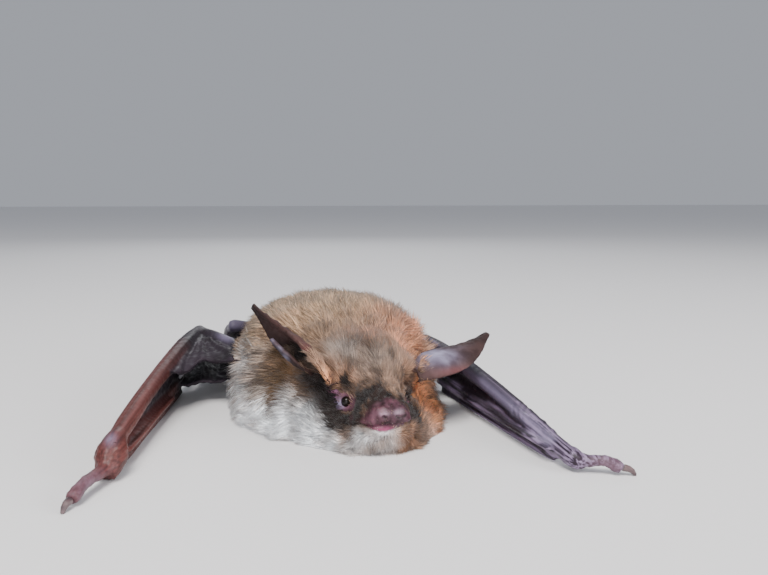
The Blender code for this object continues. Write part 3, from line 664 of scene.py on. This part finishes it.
def coat_length(p, body):
    """How long tufts are: short on the face, near the floor and where the coat ends."""
    x, y, z = p.T
    hushed = np.zeros(len(p))
    for side in SIDES:
        hushed += near(p, EYES[side] + (-0.4 * OUTWARD[side], -1.2, 0.0), 1.5)
        hushed += near(p, EYES[side] + (1.2 * OUTWARD[side], 0.4, 0.8), 2.3)
    found = LENGTH_ON_HEAD + (LENGTH_ON_BODY - LENGTH_ON_HEAD) * ramp(-15.0, -7.0, y)
    found *= 1.0 - 0.45 * ramp(-17.5, -20.5, y)
    found *= 1.0 - 0.5 * ramp(-20.0, -22.8, y)
    found *= 1.0 - 0.55 * np.maximum(bare_face(p), np.clip(hushed, 0, 1))
    found += 0.9 * on_chin(p)
    found += 0.7 * ramp(5.0, 8.0, np.abs(x - FACE_CENTRE)) * ramp(-11.0, -16.0, y)
    found = np.minimum(found, 2.0 + 0.7 * np.abs(z))
    found *= 1.0 - 0.55 * ramp(0.9, 0.4, body)
    return found + 1.2 * near(p, *SHOULDER)


def coat_flow(p, normal, shares):
    """The lie of the coat, turned to point along the ears where it covers them."""
    found = lie_of_coat(p, normal)
    for side in SIDES:
        on_ear = (share_of(shares, "ear") * on_side(p, side))[:, None]
        found = found * (1.0 - on_ear) + unit(EAR_TIP[side] - EAR_ROOT[side]) * on_ear
    return laid_on(found, normal)


def coat_plan(surface, shares):
    """What the coat does at each vertex of the skin, as arrays under plain names."""
    p, normal = surface.points, surface.normals()
    y = p[:, 1]
    body = surface.spread(share_of(shares, "body", "jaw"), 14)
    lift = 26.0 + 3.0 * ramp(-9.0, -15.0, y) - 10.0 * ramp(-20.0, -23.0, y)
    lift += 16.0 * on_chin(p) + 8.0 * near(p, *SHOULDER)
    lift *= 1.0 - 0.7 * share_of(shares, "ear")
    return {
        "points": p,
        "normal": normal,
        "outer": p + normal * coat_depth(p)[:, None],
        "density": coat_density(p, normal, shares, body),
        "length": coat_length(p, body),
        "flow": coat_flow(p, normal, shares),
        "raise": np.radians(lift),
        "width": 0.05 + 0.025 * ramp(-15.0, -3.0, y) - 0.012 * ramp(-20.0, -22.5, y),
    }


def sampled(surface, plan, count, rng):
    """Picks places on the skin, more where the coat is dense, and reads the plan there."""
    triangles = surface.triangles
    corners = surface.points[triangles]
    area = np.linalg.norm(np.cross(corners[:, 1] - corners[:, 0], corners[:, 2] - corners[:, 0]), axis=1)
    total = np.cumsum(area * plan["density"][triangles].mean(axis=1))
    chosen = np.minimum(np.searchsorted(total, rng.random(count) * total[-1]), len(triangles) - 1)
    first, second = rng.random(count), rng.random(count)
    over = first + second > 1
    first, second = np.where(over, 1 - first, first), np.where(over, 1 - second, second)
    weights = np.stack([1 - first - second, first, second], axis=1)
    found = {}
    for name, values in plan.items():
        picked = values[triangles[chosen]]
        shape = weights if picked.ndim == 2 else weights[:, :, None]
        found[name] = (picked * shape).sum(axis=1)
    found["normal"] = unit(found["normal"])
    found["flow"] = laid_on(found["flow"], found["normal"])
    return found


def gathered(roots, rng):
    """How far each tip is drawn towards the middle of the lock that its tuft belongs to."""
    middles = roots[rng.choice(len(roots), max(1, len(roots) // TUFTS_IN_LOCK), replace=False)]
    return (middles[nearest(roots, middles)] - roots) * LOCK_PULL


def tuft_paths(tufts, stops, rng):
    """Where each tuft runs: its centre and direction at every stop along it."""
    count = len(tufts["points"])
    roots, normal, flow = tufts["points"], tufts["normal"], tufts["flow"]
    beside = np.cross(normal, flow)
    turn = (0.4 * ripple(roots, 4.5, 41) + 0.3 * ripple(roots, 1.6, 42) + rng.normal(0, 0.16, count))[:, None]
    heading = flow * np.cos(turn) + beside * np.sin(turn)
    length = tufts["length"] * rng.uniform(0.7, 1.15, count)
    lift = tufts["raise"] * (1.0 + 0.3 * ripple(roots, 2.0, 43) + rng.normal(0, 0.14, count))
    pull = gathered(roots, rng)
    places, directions = [], []
    place = roots - normal * ROOT_DEPTH
    before = 0.0
    for stop in stops:
        angle = (lift * (1.45 - 0.95 * stop))[:, None]
        direction = heading * np.cos(angle) + normal * np.sin(angle)
        place = place + direction * (length * (stop - before))[:, None]
        before = stop
        here = place + pull * stop**1.5
        here[:, 2] = np.maximum(here[:, 2], 0.05)
        places.append(here)
        directions.append(direction)
    return places, directions


def tuft_mesh(tufts, rings, rng):
    """Closed three-sided spikes: vertices, triangles, and each vertex's share along its tuft."""
    stops = STOPS[rings]
    count = len(tufts["points"])
    places, directions = tuft_paths(tufts, stops, rng)
    width = tufts["width"] * rng.uniform(0.75, 1.3, count)
    corners = []
    for ring in range(rings):
        across = unit(np.cross(directions[ring], tufts["normal"]))
        deep = np.cross(across, directions[ring])
        for corner in range(3):
            angle = TURN / 4 + corner * TURN / 3
            step = across * math.cos(angle) + deep * (0.55 * math.sin(angle))
            corners.append(places[ring] + step * (width * RING_WIDTHS[rings][ring])[:, None])
    corners.append(places[-1])
    points = np.stack(corners, axis=1)
    pattern = [(0, 2, 1)]
    for ring in range(rings - 1):
        for corner in range(3):
            here, there = ring * 3 + corner, ring * 3 + (corner + 1) % 3
            pattern += [(here, there, there + 3), (here, there + 3, here + 3)]
    last = (rings - 1) * 3
    pattern += [(last + corner, last + (corner + 1) % 3, rings * 3) for corner in range(3)]
    faces = np.array(pattern)[None] + (np.arange(count) * points.shape[1])[:, None, None]
    along = np.repeat(stops[:rings], 3).tolist() + [1.0]
    return points, faces.reshape(-1, 3), np.array(along)


def map_of_tufts(tufts, along, rings):
    """A small patch of the map for each tuft, where its root lies on an unrolling of the body."""
    x, y, z = tufts["points"].T
    around = 0.5 + np.arctan2(x + 0.5, z - 4.0) / TURN
    back = (y - COAT_FRONT) / COAT_SPAN
    corner = np.array([(i % 3 - 1) * 0.5 for i in range(rings * 3)] + [0.0])
    rise = np.array([0.08 * (i == 1) for i in range(rings * 3 + 1)])
    u = MAP_EDGE + (1 - 2 * MAP_EDGE) * around[:, None] + PATCH * corner[None]
    v = MAP_EDGE + (1 - 2 * MAP_EDGE) * back[:, None] + PATCH * (along + rise - 0.5)[None]
    return np.stack([u, v], axis=2)


def mesh_of(name, points, faces):
    mesh = bpy.data.meshes.new(name)
    mesh.vertices.add(len(points))
    mesh.vertices.foreach_set("co", flat(points * MM))
    mesh.loops.add(faces.size)
    mesh.loops.foreach_set("vertex_index", faces.ravel().astype(np.int32))
    mesh.polygons.add(len(faces))
    mesh.polygons.foreach_set("loop_start", np.arange(0, faces.size, 3, dtype=np.int32))
    mesh.update(calc_edges=True)
    mesh.shade_smooth()
    return placed(name, mesh)


def coat_piece(band, tufts, rings, rng):
    points, faces, along = tuft_mesh(tufts, rings, rng)
    obj = mesh_of("coat_" + band, points.reshape(-1, 3), faces)
    per_tuft = points.shape[1]
    uv = map_of_tufts(tufts, along, rings).reshape(-1, 2)
    obj.data.uv_layers.new(name="OFBake").data.foreach_set("uv", flat(uv[faces.ravel()]))
    marks = np.repeat(fur_marks(tufts["outer"] + tufts["flow"] * 0.8), per_tuft, axis=0)
    locks = 1.3 * ripple(tufts["points"], 1.5, 44) + 0.6 * ripple(tufts["points"], 3.2, 45)
    tone = np.repeat(locks + rng.normal(0.0, 0.5, len(tufts["points"])), per_tuft)
    tone += marks[:, CREAM] * (0.4 - 0.55 * tone)
    store_marks(obj.data, marks, np.tile(along, len(tufts["points"])), tone)
    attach(obj, BODY)
    return obj


def make_coat(surface, shares, finish):
    rng = np.random.default_rng(COAT_SEED)
    plan = coat_plan(surface, shares)
    counts = [CURLED_TUFTS if band in CURLED else PLAIN_TUFTS for band in BANDS]
    tufts = sampled(surface, plan, sum(counts), rng)
    order = np.argsort(tufts["points"][:, 1], kind="stable")
    start = 0
    for band, count in zip(BANDS, counts):
        chosen = order[start : start + count]
        start += count
        piece = {name: values[chosen] for name, values in tufts.items()}
        obj = coat_piece(band, piece, 3 if band in CURLED else 2, rng)
        obj.data.materials.append(finish)


# ---- materials ----
FUR = {
    "base": (0.3, 0.185, 0.125),
    "golden": (0.62, 0.42, 0.26),
    "rufous": (0.58, 0.28, 0.17),
    "grey": (0.42, 0.34, 0.29),
    "dark": (0.018, 0.01, 0.008),
    "cream": (0.93, 0.95, 0.97),
    "ochre": (0.15, 0.075, 0.022),
    "orange": (0.9, 0.38, 0.16),
}
ROOT_COLOUR = (0.1, 0.06, 0.038)
PALE_ROOT_COLOUR = (0.84, 0.87, 0.92)


def plug(tree, value, socket):
    """Links a socket to another one, or sets it to a number or a colour."""
    if hasattr(value, "links"):
        tree.links.new(value, socket)
    else:
        socket.default_value = (*value, 1.0) if isinstance(value, tuple) else value


def node_with(tree, kind, inputs, **settings):
    """A new node with some settings made and some inputs plugged."""
    node = tree.nodes.new("ShaderNode" + kind)
    for name, value in settings.items():
        setattr(node, name, value)
    for socket, value in inputs.items():
        plug(tree, value, node.inputs[socket])
    return node


def material(name, inputs_in):
    """A material whose shader has the inputs that a function makes in its node tree."""
    made = bpy.data.materials.new(name)
    made.use_nodes = True
    tree = made.node_tree
    for socket, value in inputs_in(tree).items():
        plug(tree, value, tree.nodes["Principled BSDF"].inputs[socket])
    return made


def attribute(tree, name):
    return node_with(tree, "Attribute", {}, attribute_name=name)


def channels(tree, name):
    """The four numbers of a colour attribute, as sockets."""
    node = attribute(tree, name)
    split = node_with(tree, "SeparateColor", {"Color": node.outputs["Color"]})
    return [split.outputs[i] for i in range(3)] + [node.outputs["Alpha"]]


def mixed(tree, factor, first, second, how="MIX"):
    inputs = {0: factor, 6: first, 7: second}
    return node_with(tree, "Mix", inputs, data_type="RGBA", blend_type=how).outputs[2]


def figured(tree, how, first, second):
    return node_with(tree, "Math", {0: first, 1: second}, operation=how).outputs[0]


def ramped(tree, value, low, high, to_low=0.0, to_high=1.0):
    inputs = {"Value": value, "From Min": low, "From Max": high, "To Min": to_low, "To Max": to_high}
    return node_with(tree, "MapRange", inputs, interpolation_type="SMOOTHSTEP").outputs["Result"]


def noise(tree, scale, detail=3.0, stretch=(1, 1, 1), laid=None):
    """Noise over the object's own space, or over the places kept in an attribute."""
    place = attribute(tree, laid) if laid else node_with(tree, "TexCoord", {})
    turn = node_with(tree, "Mapping", {"Vector": place.outputs["Vector" if laid else "Object"]})
    turn.inputs["Scale"].default_value = stretch
    inputs = {"Vector": turn.outputs["Vector"], "Scale": scale, "Detail": detail}
    return node_with(tree, "TexNoise", inputs).outputs["Fac"]


def grey_of(tree, value):
    return node_with(tree, "CombineColor", {0: value, 1: value, 2: value}).outputs["Color"]


def fur_colour(tree):
    """The colour of the coat from its markings: dark at the roots, marked at the tips."""
    shares = dict(zip((*MARKS, "along"), channels(tree, "marks_a") + channels(tree, "marks_b")))
    tip = FUR["base"]
    for mark in ("golden", "rufous", "grey", "ochre", "cream", "orange", "dark"):
        tip = mixed(tree, shares[mark], tip, FUR[mark])
    root = mixed(tree, shares["cream"], ROOT_COLOUR, PALE_ROOT_COLOUR)
    root = mixed(tree, shares["dark"], root, FUR["dark"])
    colour = mixed(tree, ramped(tree, shares["along"], 0.0, 0.5), root, tip)
    tone = attribute(tree, "tone").outputs["Fac"]
    light = ramped(tree, tone, -2.0, 2.0, 0.45, 1.6)
    speckle = ramped(tree, noise(tree, 900.0), 0.3, 0.7, 0.85, 1.15)
    shade = figured(tree, "MULTIPLY", light, speckle)
    return mixed(tree, 1.0, colour, grey_of(tree, shade), "MULTIPLY")


def fur_inputs(tree):
    sheen = {"Sheen Weight": 0.1, "Sheen Roughness": 0.4}
    return {"Base Color": fur_colour(tree), "Roughness": 0.62, "Specular IOR Level": 0.25, **sheen}


def toned(tree, pattern, name):
    """A colour of the skin that runs between a dark and a light tone along a pattern."""
    return mixed(tree, pattern, *SKIN_TONES[name])


SKIN_TONES = {  # the dark and the light one of each
    "ear": ((0.03, 0.015, 0.014), (0.062, 0.033, 0.03)),
    # painted sheen of the ears, from blue-grey to silvery
    "painted_sheen": ((0.15, 0.13, 0.19), (0.28, 0.26, 0.37)),
    "limb": ((0.045, 0.014, 0.012), (0.15, 0.046, 0.04)),
    # the far arm's dark skin, with painted blue-purple sheen in its light streaks
    "left_arm_sheen_streaks": ((0.02, 0.013, 0.022), (0.28, 0.21, 0.33)),
    # nearly black limb skin, partly painted shade
    "dark_skin_and_shade": ((0.006, 0.004, 0.005), (0.028, 0.019, 0.027)),
    "pad": ((0.11, 0.06, 0.08), (0.2, 0.12, 0.16)),
    # the membranes' own dark brown, taken down towards black as painted shade of the folded wings
    "web": ((0.008, 0.005, 0.007), (0.027, 0.019, 0.027)),
    "face": ((0.018, 0.007, 0.009), (0.12, 0.038, 0.055)),
    "ring": ((0.08, 0.07, 0.11), (0.26, 0.235, 0.36)),
    "red": ((0.22, 0.085, 0.13), (0.42, 0.18, 0.3)),
}


def ear_colour(tree, blotch):
    conch_shade_and_dark_tips, fold, painted_sheen, pink = channels(tree, "ear_marks")
    # painted shade inside the near ear, and the darker ear tips
    found = mixed(tree, conch_shade_and_dark_tips, toned(tree, blotch, "ear"), (0.018, 0.009, 0.009))
    found = mixed(tree, fold, found, (0.09, 0.04, 0.034))
    # painted sheen on the ears
    found = mixed(tree, painted_sheen, found, toned(tree, blotch, "painted_sheen"))
    return mixed(tree, pink, found, (0.26, 0.075, 0.075))


def limb_colour(tree, fine):
    lines = noise(tree, 1500.0, laid="laid")
    streak = ramped(tree, lines, 0.4, 0.66)
    soft_streak = ramped(tree, lines, 0.2, 0.85)
    painted_shine, nail, arm_left, pad = channels(tree, "limb_marks")
    # the far arm: dark skin streaked with painted sheen
    found = mixed(tree, arm_left, toned(tree, soft_streak, "limb"), toned(tree, streak, "left_arm_sheen_streaks"))
    # nearly black limbs, partly painted shade under the near arm and between the far forearm and its fingers
    dark_skin_and_shade = attribute(tree, "dark_skin_and_shade").outputs["Fac"]
    found = mixed(tree, dark_skin_and_shade, found, toned(tree, soft_streak, "dark_skin_and_shade"))
    # painted blue-tinted shine on the limbs
    found = mixed(tree, painted_shine, found, (0.3, 0.26, 0.4))
    found = mixed(tree, pad, found, toned(tree, fine, "pad"))
    return mixed(tree, nail, found, (0.35, 0.25, 0.2))


def face_colour(tree, blotch, fine):
    lip, ring, red, pale_rim_and_nose_glints = channels(tree, "face_marks")
    # painted glints: fine light specks over the bare face
    painted_glints = figured(tree, "MULTIPLY", fine, 0.2)
    found = mixed(tree, painted_glints, toned(tree, blotch, "face"), (0.34, 0.15, 0.21))
    found = mixed(tree, lip, found, (0.27, 0.05, 0.12))
    found = mixed(tree, ring, found, toned(tree, fine, "ring"))
    found = mixed(tree, red, found, toned(tree, fine, "red"))
    # a whitish rim by the near eye, and painted highlights on the nose pads
    found = mixed(tree, pale_rim_and_nose_glints, found, (0.6, 0.4, 0.5))
    return mixed(tree, attribute(tree, "shaded").outputs["Fac"], found, (0.02, 0.01, 0.011))


def skin_inputs(tree):
    """Skin of the wings, ears, limbs and face, with the coat's own markings where fur hides it."""
    blotch = ramped(tree, noise(tree, 420.0, 4.0), 0.35, 0.65)
    fine = ramped(tree, noise(tree, 1600.0), 0.3, 0.7)
    broad = ramped(tree, noise(tree, 130.0, 2.0), 0.35, 0.65)
    ear, limb, membrane, bare = channels(tree, "kinds")
    colour = mixed(tree, ear, fur_colour(tree), ear_colour(tree, blotch))
    colour = mixed(tree, limb, colour, limb_colour(tree, fine))
    # membranes: dark skin, partly painted shade
    colour = mixed(tree, membrane, colour, toned(tree, broad, "web"))
    colour = mixed(tree, bare, colour, face_colour(tree, blotch, fine))
    rough = ramped(tree, figured(tree, "MAXIMUM", limb, bare), 0.0, 1.0, 0.62, 0.42)
    relief = {"Strength": 0.25, "Distance": 0.00003, "Height": figured(tree, "ADD", fine, blotch)}
    return {
        "Base Color": colour,
        "Roughness": figured(tree, "MULTIPLY", rough, ramped(tree, fine, 0.0, 1.0, 0.85, 1.25)),
        "Specular IOR Level": 0.22,
        "Normal": node_with(tree, "Bump", relief).outputs["Normal"],
    }


def eye_inputs(tree):
    cloud = ramped(tree, noise(tree, 900.0), 0.3, 0.7)
    colour = mixed(tree, cloud, (0.004, 0.003, 0.003), (0.014, 0.009, 0.007))
    coat = {"Coat Weight": 0.12, "Coat Roughness": 0.03}
    return {"Base Color": colour, "Roughness": 0.09, "Specular IOR Level": 0.16, **coat}


def claw_inputs(tree):
    bands = ramped(tree, noise(tree, 500.0, 3.0, (1, 1, 4)), 0.3, 0.7)
    colour = mixed(tree, bands, (0.05, 0.03, 0.035), (0.15, 0.1, 0.1))
    return {"Base Color": colour, "Roughness": 0.3}


def floor_inputs(tree):
    return {"Base Color": (0.8, 0.79, 0.79), "Roughness": 0.85}


# ---- eyes and claws ----
def make_eyes(finish):
    for side in SIDES:
        mesh = bpy.data.meshes.new("eyeball_" + side)
        made = bmesh.new()
        bmesh.ops.create_uvsphere(made, u_segments=40, v_segments=24, radius=EYE_RADIUS * MM)
        bmesh.ops.translate(made, verts=made.verts, vec=Vector(EYES[side]) * MM)
        made.to_mesh(mesh)
        made.free()
        mesh.shade_smooth()
        mesh.materials.append(finish)
        eye = placed("eyeball_" + side, mesh)
        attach(eye, BODY)
        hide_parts("eye_" + side)


def dress_claws(finish):
    for side in SIDES:
        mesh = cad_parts["thumb_claw_" + side].data
        mesh.materials.clear()
        mesh.materials.append(finish)


# ---- markings of bare skin ----
EAR_SPOTS = {  # strength, place and radius of each
    "fold": (
        (0.8, (-7.8, -16.8, 11.4), (1.6, 1.8, 2.2)), (0.5, (-10.0, -13.0, 13.5), (2.0, 2.4, 2.0)),
    ),
    # painted sheen: highlights on the near ear's ridges and a silvery shine at the far ear's base
    "painted_sheen": (
        (0.6, (-11.0, -12.7, 12.2), (0.5, 0.7, 0.7)), (0.5, (-10.4, -13.6, 11.1), (0.4, 0.6, 0.4)),
        (0.6, (-9.7, -13.9, 9.9), (0.5, 0.6, 0.6)), (1.2, (9.6, -15.6, 9.4), (2.4, 2.4, 1.1)),
        (0.25, (13.0, -13.8, 10.2), (1.8, 1.8, 0.5)),
    ),
    "pink": (
        (0.6, (-7.9, -17.0, 11.2), (0.45, 0.7, 0.6)), (0.3, (11.0, -17.3, 7.7), (3.2, 1.2, 0.5)),
    ),
}


def ear_marks(p, normal):
    """The near ear's inner side darkened as painted shade, darker ear tips, its paler front fold, places of
    painted silvery sheen and pink ones.
    """
    # painted shade on the inner side of the near ear, then darker skin at both ear tips
    conch_shade_and_dark_tips = ramp(0.1, 0.6, normal @ np.array((-0.83, -0.38, -0.41))) * on_side(p, "right")
    conch_shade_and_dark_tips += 0.7 * near(p, EAR_TIP["left"], 5.0) + 0.3 * near(p, EAR_TIP["right"], 3.0)
    # painted sheen on the ears
    painted_sheen = spotted(p, EAR_SPOTS["painted_sheen"]) * (0.9 + 0.25 * ripple(p, 2.0, 51))
    fold, pink = spotted(p, EAR_SPOTS["fold"]), spotted(p, EAR_SPOTS["pink"])
    return np.clip(np.column_stack([conch_shade_and_dark_tips, fold, painted_sheen, pink]), 0, 1)


PAINTED_SHINE_SPOTS = (  # painted blue-grey highlights on the near wrist, the knees and the near upper arm
    (0.5, (-29.6, -22.4, 4.4), (0.6, 1.2, 0.7)),
    (0.3, KNEE["right"], 2.5),
    (0.3, KNEE["left"], 2.5),
    (0.45, (-15.6, 7.6, 9.0), (1.6, 3.0, 0.8)),
)
PAD_SPOTS = ((1.0, (-31.6, -27.4, 1.0), (2.2, 2.6, 1.6)), (1.0, (21.5, -36.2, 0.9), (2.2, 1.6, 1.4)))
DARK_SKIN_AND_SHADE_SPOTS = (  # the elbows, with painted shade on the near flank's web and at the near finger tips
    (1.2, ELBOW["right"], 8.0),
    (1.0, ELBOW["left"], 4.0),
    (1.0, (-13.0, 3.0, 7.0), 8.0),
    (1.0, (-22.2, 11.0, 2.8), 3.5),
)


def limb_marks(p):
    """Painted blue-tinted shine with a painted highlight line along the far forearm, the claws of the toes,
    the greyer left arm whose light streaks are painted sheen, and the pads of the thumbs.
    """
    # painted shine, with a painted highlight line along the far forearm's upper edge
    painted_shine = spotted(p, PAINTED_SHINE_SPOTS) + 0.5 * near_line(p, (16.2, -9.0, 5.4), (17.2, -31.0, 2.6), 0.75)
    nail = np.zeros(len(p))
    for side in SIDES:
        ahead = unit((TOES[side] - ANKLE[side]) * (1, 1, 0))
        offset = p - TOES[side]
        on_toes = np.linalg.norm(offset, axis=1) < 6.0
        nail = np.maximum(nail, ramp(2.2, 2.6, offset @ ahead) * on_toes)
    arm_left = ramp(2.0, 4.0, p[:, 0]) * ramp(10.0, 4.0, p[:, 1])
    return np.clip(np.column_stack([painted_shine, nail, arm_left, spotted(p, PAD_SPOTS)]), 0, 1)


def dark_skin_and_shade_places(p):
    """Where the limbs are nearly black: at the elbows and towards the hind end, with painted shade under the
    near arm and in the groove between the far forearm and its fingers.
    """
    found = spotted(p, DARK_SKIN_AND_SHADE_SPOTS) + 0.45 * ramp(12.0, 16.0, p[:, 1])
    # painted shade in the groove between the far forearm and its fingers
    found += 0.75 * near_line(p, (16.3, -8.0, 2.8), (16.1, -26.0, 1.9), 0.9)
    return np.clip(1.4 * found, 0, 1)


def face_marks(p):
    """The lip, and round the near eye a blue-grey ring, a red patch and a whitish rim; the nose pads get
    painted highlights.
    """
    eye = EYES["right"]
    lip = 1.3 * near(p, (-0.4, -25.0, 3.25), (1.15, 2.0, 0.4))
    ring = near(p, eye + (-1.0, 0.5, -0.3), (0.9, 1.0, 0.8))
    red = 1.4 * near(p, eye + (-1.8, 1.5, 1.0), (1.2, 1.4, 0.9))
    pale_rim_and_nose_glints = 0.7 * near(p, eye + (-2.1, 1.8, 0.6), (0.2, 0.5, 0.7))
    for side in SIDES:
        # painted highlights on the nose pads
        pale_rim_and_nose_glints += 0.6 * near(p, NOSTRILS[side] + (0, 0, 0.4), (0.5, 0.7, 0.26))
    return np.clip(np.column_stack([lip, ring, red, pale_rim_and_nose_glints]), 0, 1)


def shaded_places(p):
    """Where the bare face darkens: at the muzzle's edge, and before and below the near eye."""
    eye = EYES["right"]
    front = ramp(-19.5, -21.5, p[:, 1])
    found = 0.85 * front * ramp(1.0, 0.25, bare_face(p))
    found += 0.8 * near(p, eye + (0.9, -0.7, -0.1), (0.55, 0.8, 1.0))
    found += 0.8 * near(p, eye + (0.2, -0.6, -1.1), (0.7, 0.8, 0.5))
    return np.clip(found, 0, 1)


def kind_masks(p, shares):
    """How far each skin colour covers the ones before it: ears, limbs, membranes, bare face."""
    body = share_of(shares, "body", "jaw")
    limb = share_of(shares, "limb", "foot")
    bare = ramp(0.1, 0.7, bare_face(p)) * body
    masks, left_over = [], np.ones(len(p))
    for share in (bare, share_of(shares, "membrane"), limb, share_of(shares, "ear")):
        masks.insert(0, np.clip(share / np.maximum(left_over, 0.01), 0, 1))
        left_over = left_over - share
    return np.column_stack(masks)


def dress_skin(skin, surface, shares, finish):
    """Gives the skin its masks and markings, and its size in metres."""
    p = surface.points
    mesh = skin.data
    outer = p + surface.normals() * coat_depth(p)[:, None]
    store(mesh, "kinds", kind_masks(p, shares))
    store(mesh, "ear_marks", ear_marks(p, surface.normals()))
    store(mesh, "limb_marks", limb_marks(p))
    store(mesh, "laid", along_limbs(p) * MM)
    store(mesh, "dark_skin_and_shade", dark_skin_and_shade_places(p))
    store(mesh, "face_marks", face_marks(p))
    store(mesh, "shaded", shaded_places(p))
    store_marks(mesh, fur_marks(outer), np.full(len(p), 0.3), np.zeros(len(p)))
    mesh.transform(((MM, 0, 0, 0), (0, MM, 0, 0), (0, 0, MM, 0), (0, 0, 0, 1)))
    mesh.materials.append(finish)
    mesh.shade_smooth()


# ---- stage, light and camera ----
def make_stage():
    """A wide pale floor, a hair below the lowest point."""
    mesh = bpy.data.meshes.new("floor")
    half, depth = 3.0, -0.00002
    corners = [(x * half, y * half, depth) for x, y in ((-1, -1), (1, -1), (1, 1), (-1, 1))]
    mesh.from_pydata(corners, [], [(0, 1, 2, 3)])
    floor = placed("floor", mesh)
    mesh.materials.append(material("floor", floor_inputs))


LAMPS = (  # name, place, size, watts and colour
    ("key", (-0.09, -0.2, 0.36), 0.22, 2.2, (1.0, 0.97, 0.94)),
    ("fill", (0.29, -0.24, 0.1), 0.25, 1.3, (0.98, 0.97, 1.0)),
    ("front", (-0.12, -0.36, 0.1), 0.25, 0.55, (0.96, 0.97, 1.0)),
    ("rim", (0.05, 0.34, 0.22), 0.2, 0.25, (0.95, 0.97, 1.0)),
)
LIT_PLACE = (0.0, 0.0, 0.006)
CAMERA_PITCH = math.radians(7.0)  # downwards


def aimed(obj, place, direction):
    """Puts a lamp or the camera at a place, looking in a direction."""
    obj.location = place
    obj.rotation_mode = "QUATERNION"
    obj.rotation_quaternion = direction.to_track_quat("-Z", "Y")


def make_light():
    for name, place, size, watts, colour in LAMPS:
        data = bpy.data.lights.new(name, "AREA")
        data.shape = "DISK"
        data.size = size
        data.energy = watts
        data.color = colour
        aimed(placed(name, data), place, Vector(LIT_PLACE) - Vector(place))
    world = bpy.data.worlds.new("studio")
    bpy.context.scene.world = world
    world.use_nodes = True
    sky = world.node_tree.nodes["Background"]
    sky.inputs["Color"].default_value = (0.86, 0.9, 1.0, 1)
    sky.inputs["Strength"].default_value = 0.45


def make_camera():
    data = bpy.data.cameras.new("camera")
    data.lens = 33.75
    data.sensor_width = 36.0
    data.clip_start = 0.001
    camera = placed("camera", data)
    level = math.cos(CAMERA_PITCH)
    aim = Vector((0.2756 * level, 0.9613 * level, -math.sin(CAMERA_PITCH)))
    aimed(camera, (-0.02205, -0.10083, 0.0293), aim)
    bpy.context.scene.camera = camera


skin, surface, shares = make_skin()
dress_skin(skin, surface, shares, material("skin", skin_inputs))
make_coat(surface, shares, material("fur", fur_inputs))
make_eyes(material("eye", eye_inputs))
dress_claws(material("claw", claw_inputs))
make_stage()
make_light()
make_camera()
